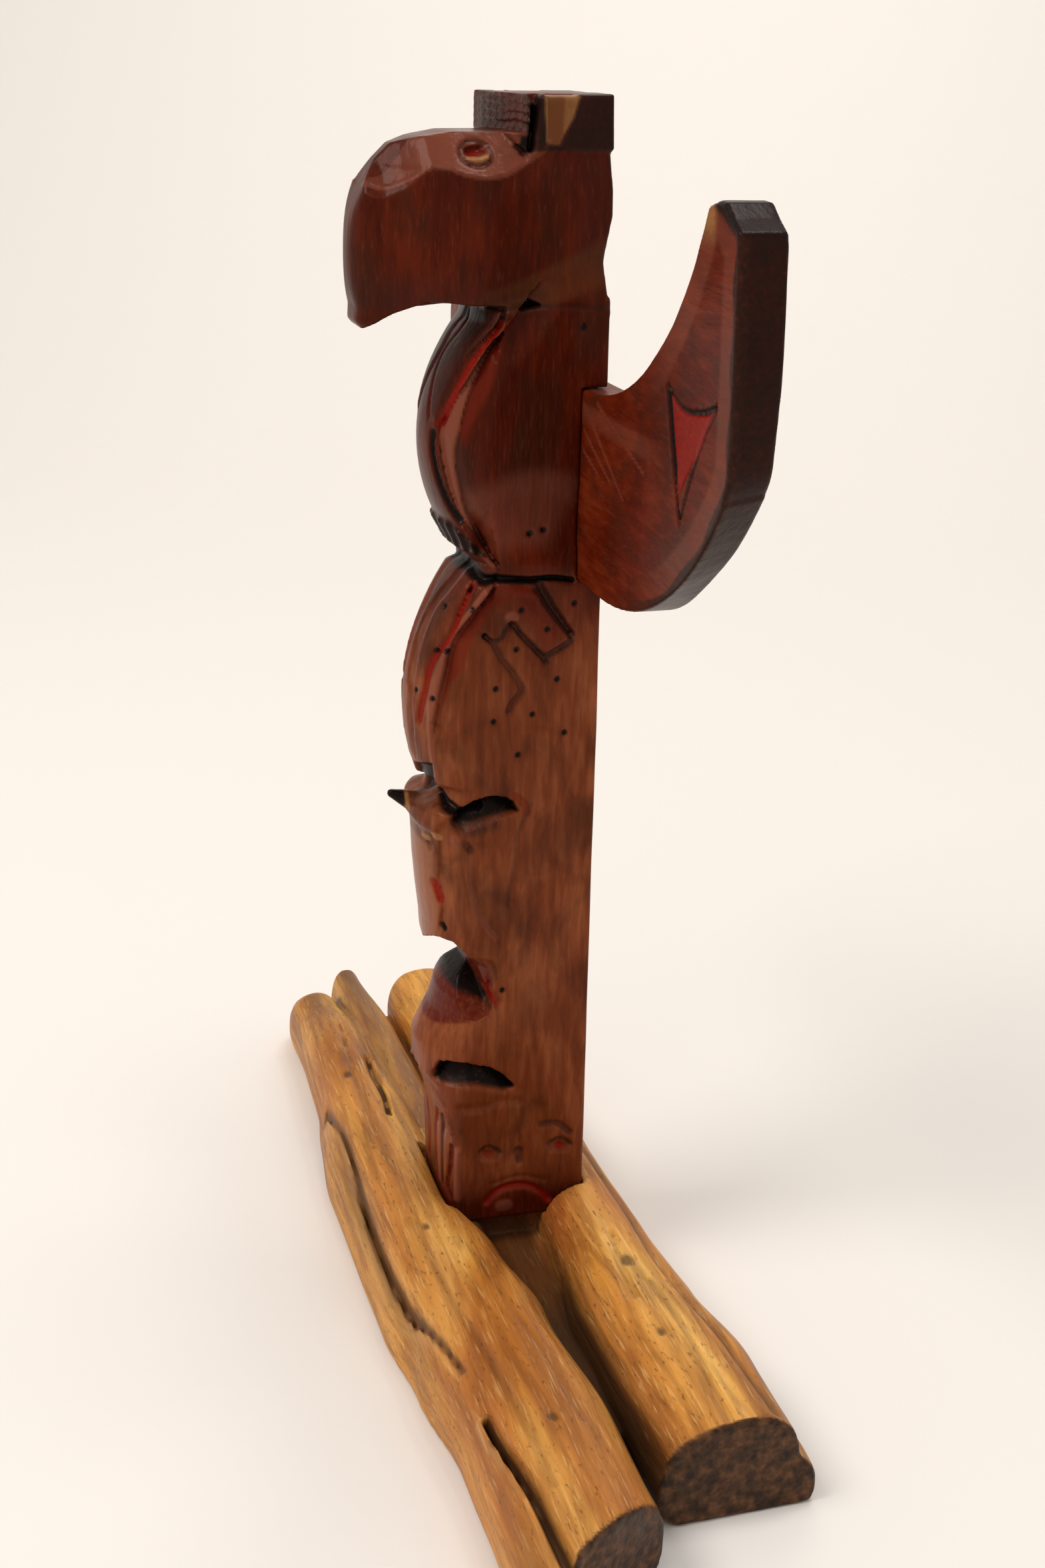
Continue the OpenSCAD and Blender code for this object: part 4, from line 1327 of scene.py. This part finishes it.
def driftwood_material():
    """Weathered tan wood with rubbed crowns, painted shade in its cracks and hollows, and dark sawn ends."""
    material, tree, shader = new_material("driftwood")
    grain = stretched_noise(tree, 330.0, (0.10, 1.0, 1.0), 9.0, 0.5)
    streak = stretched_noise(tree, 60.0, (0.16, 1.0, 1.0), 6.0, 0.8)
    patch = stretched_noise(tree, 22.0, (0.5, 1.0, 1.0), 4.0)
    fibre = stretched_noise(tree, 1500.0, (0.06, 1.0, 1.0), 4.0)
    pits = stretched_noise(tree, 1100.0, (0.35, 1.0, 1.0), 3.0)
    speck = stretched_noise(tree, 420.0, (1.0, 1.0, 1.0), 6.0)
    tones = colour_ramp(tree, streak, [(0.30, (0.24, 0.072, 0.010)), (0.46, (0.52, 0.200, 0.030)),
                                       (0.58, (0.70, 0.33, 0.060)), (0.74, (0.84, 0.48, 0.130))])
    lines = colour_ramp(tree, grain, [(0.36, (0.34, 0.27, 0.22)), (0.62, (1.0, 1.0, 1.0))])
    end_tones = colour_ramp(tree, speck, [(0.35, (0.016, 0.0065, 0.003)), (0.52, (0.064, 0.024, 0.009)),
                                          (0.75, (0.15, 0.062, 0.024))])
    colour = mix_colour(tree, tones, 0.7, lines, blend="MULTIPLY")
    for factor, tone, share in (
            (remap(tree, patch, 0.0, 1.0, 0.42, 0.66), (0.46, 0.13, 0.022), 0.45),
            (attribute(tree, "ruddy"), (0.34, 0.075, 0.016), 0.6),
            (remap(tree, pits, 0.0, 1.0, 0.60, 0.72), (0.12, 0.040, 0.010), 0.7),
            (remap(tree, fibre, 0.0, 1.0, 0.56, 0.72), (0.90, 0.58, 0.22), 0.35),
            (remap(tree, attribute(tree, "ridge"), 0.0, 1.0, 0.25, 0.7), (0.72, 0.40, 0.15), 0.3),
            # painted shade in the hollows
            (remap(tree, attribute(tree, "hollow"), 0.0, 1.0, 0.12, 0.6), (0.075, 0.026, 0.008), 0.8),
            # dark: dark knots and bark, painted shade in the splits and painted shadow in the cleft under the
            # pole
            (attribute(tree, "dark"), (0.024, 0.010, 0.005), 0.92)):
        colour = mix_colour(tree, colour, factor, tone, share)
    colour = mix_colour(tree, colour, attribute(tree, "end_grain"), end_tones)
    tree.links.new(colour, shader["Base Color"])
    tree.links.new(remap(tree, streak, 0.42, 0.66, 0.3, 0.7), shader["Roughness"])
    relief = ((fibre, 0.3, 0.0003), (grain, 0.6, 0.0010))
    wood_finish(tree, shader, relief, 0.2, (1.0, 0.82, 0.62), 0.12, 0.2)
    return material


def screw_finish():
    """The CAD screws keep their shape and get a worn steel."""
    steel, tree, shader = new_material("screw_steel")
    noise = add_node(tree, "ShaderNodeTexNoise", {"Scale": 900.0, "Detail": 4.0}).outputs["Fac"]
    tones = colour_ramp(tree, noise, [(0.3, (0.42, 0.40, 0.36)), (0.7, (0.66, 0.64, 0.60))])
    shader["Metallic"].default_value = 1.0
    tree.links.new(tones, shader["Base Color"])
    tree.links.new(remap(tree, noise, 0.28, 0.50), shader["Roughness"])
    for node in ("wing_screws", "base_screws"):
        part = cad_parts[node]
        part.data.materials.clear()
        part.data.materials.append(steel)


# ---- floor, light and camera ----------------------------------------------------------------

CAMERA_AZIMUTH = math.radians(74.31)
CAMERA_HEADING = math.radians(73.96)
CAMERA_PITCH = math.radians(19.73)
CAMERA_ROLL = math.radians(1.17)
CAMERA_DISTANCE = 0.5297
CAMERA_HEIGHT = 0.3126 + SEAT_Z * MM
CAMERA_LENS = 47.9


def backdrop():
    """A pale sheet that lies flat and sweeps up well behind the figure."""
    floor_half = 2.4
    sweep_start = 1.1
    sweep_radius = 0.9
    height = 2.6
    profile = [(-floor_half, 0.0), (sweep_start, 0.0)]
    profile += arc((sweep_start, sweep_radius), sweep_radius, -90.0, 0.0, 12)[1:]
    profile.append((sweep_start + sweep_radius, height))
    away = Vector((-math.sin(CAMERA_HEADING), math.cos(CAMERA_HEADING), 0.0))
    across = Vector((math.cos(CAMERA_HEADING), math.sin(CAMERA_HEADING), 0.0))
    verts = []
    for side in (-floor_half, floor_half):
        verts += [away * u + across * side + Vector((0.0, 0.0, v)) for u, v in profile]
    n = len(profile)
    faces = [(i, i + 1, n + i + 1, n + i) for i in range(n - 1)]
    mesh = bpy.data.meshes.new("backdrop")
    mesh.from_pydata([v[:] for v in verts], [], faces)
    mesh.shade_smooth()
    sheet = bpy.data.objects.new("backdrop", mesh)
    bpy.context.scene.collection.objects.link(sheet)
    pale, _, shader = new_material("pale_cloth")
    shader["Base Color"].default_value = (0.855, 0.81, 0.765, 1.0)
    shader["Roughness"].default_value = 0.95
    shader["Specular IOR Level"].default_value = 0.1
    mesh.materials.append(pale)


def area_light(name, direction, distance, size, power, colour=(1.0, 1.0, 1.0), target=(0.0, 0.0, 0.16)):
    """A soft light aimed at a target; direction is (azimuth, elevation) as for views."""
    azimuth, elevation = (math.radians(a) for a in direction)
    offset = Vector((math.sin(azimuth) * math.cos(elevation), -math.cos(azimuth) * math.cos(elevation),
                     math.sin(elevation))) * distance
    light = bpy.data.lights.new(name, "AREA")
    light.shape = "DISK"
    light.size = size
    light.energy = power
    light.color = colour
    lamp = bpy.data.objects.new(name, light)
    lamp.location = Vector(target) + offset
    lamp.rotation_euler = (-offset).to_track_quat("-Z", "Y").to_euler()
    bpy.context.scene.collection.objects.link(lamp)


def camera():
    """The photograph's view: from the figure's left and slightly in front, looking down on it."""
    right = Vector((math.cos(CAMERA_HEADING), math.sin(CAMERA_HEADING), 0.0))
    level = Vector((-math.sin(CAMERA_HEADING), math.cos(CAMERA_HEADING), 0.0))
    view = level * math.cos(CAMERA_PITCH) - Vector((0.0, 0.0, 1.0)) * math.sin(CAMERA_PITCH)
    up = right.cross(view)
    roll_right = right * math.cos(CAMERA_ROLL) + up * math.sin(CAMERA_ROLL)
    roll_up = up * math.cos(CAMERA_ROLL) - right * math.sin(CAMERA_ROLL)
    place = Vector((math.sin(CAMERA_AZIMUTH) * CAMERA_DISTANCE, -math.cos(CAMERA_AZIMUTH) * CAMERA_DISTANCE,
                    CAMERA_HEIGHT))
    data = bpy.data.cameras.new("camera")
    data.lens = CAMERA_LENS
    data.sensor_width = 36.0
    data.clip_start = 0.02
    eye = bpy.data.objects.new("camera", data)
    turn = Matrix((roll_right, roll_up, -view)).transposed().to_4x4()
    eye.matrix_world = Matrix.Translation(place) @ turn
    bpy.context.scene.collection.objects.link(eye)
    bpy.context.scene.camera = eye


def studio():
    """A warm, soft surround, a key from the figure's front, and a light for the sheet behind it."""
    scene = bpy.context.scene
    scene.view_settings.view_transform = "Standard"
    world = bpy.data.worlds.new("studio")
    scene.world = world
    world.use_nodes = True
    surround = world.node_tree.nodes["Background"].inputs
    surround["Color"].default_value = (1.0, 0.97, 0.93, 1.0)
    surround["Strength"].default_value = 0.55
    area_light("key", (10.0, 52.0), 1.7, 0.8, 13.0, (1.0, 0.97, 0.93))
    area_light("fill", (60.0, 50.0), 1.6, 0.8, 2.0, (1.0, 0.98, 0.96))
    area_light("top", (190.0, 75.0), 1.4, 0.5, 5.0)
    area_light("backdrop", (120.0, 75.0), 1.2, 1.4, 9.0, (1.0, 0.98, 0.95), (-1.85, 0.53, 0.25))


# ---- assembly ---------------------------------------------------------------------------------

PIECES = (
    (carve_pole, "pole", pole_wood),
    (carve_wings, "wing_board", wing_wood),
    (carve_base, "driftwood_base", driftwood_material),
)

for carve, node, finish in PIECES:
    piece = carve()
    piece.data.materials.append(finish())
    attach(piece, "root")
    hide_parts(node)

screw_finish()
backdrop()
studio()
camera()
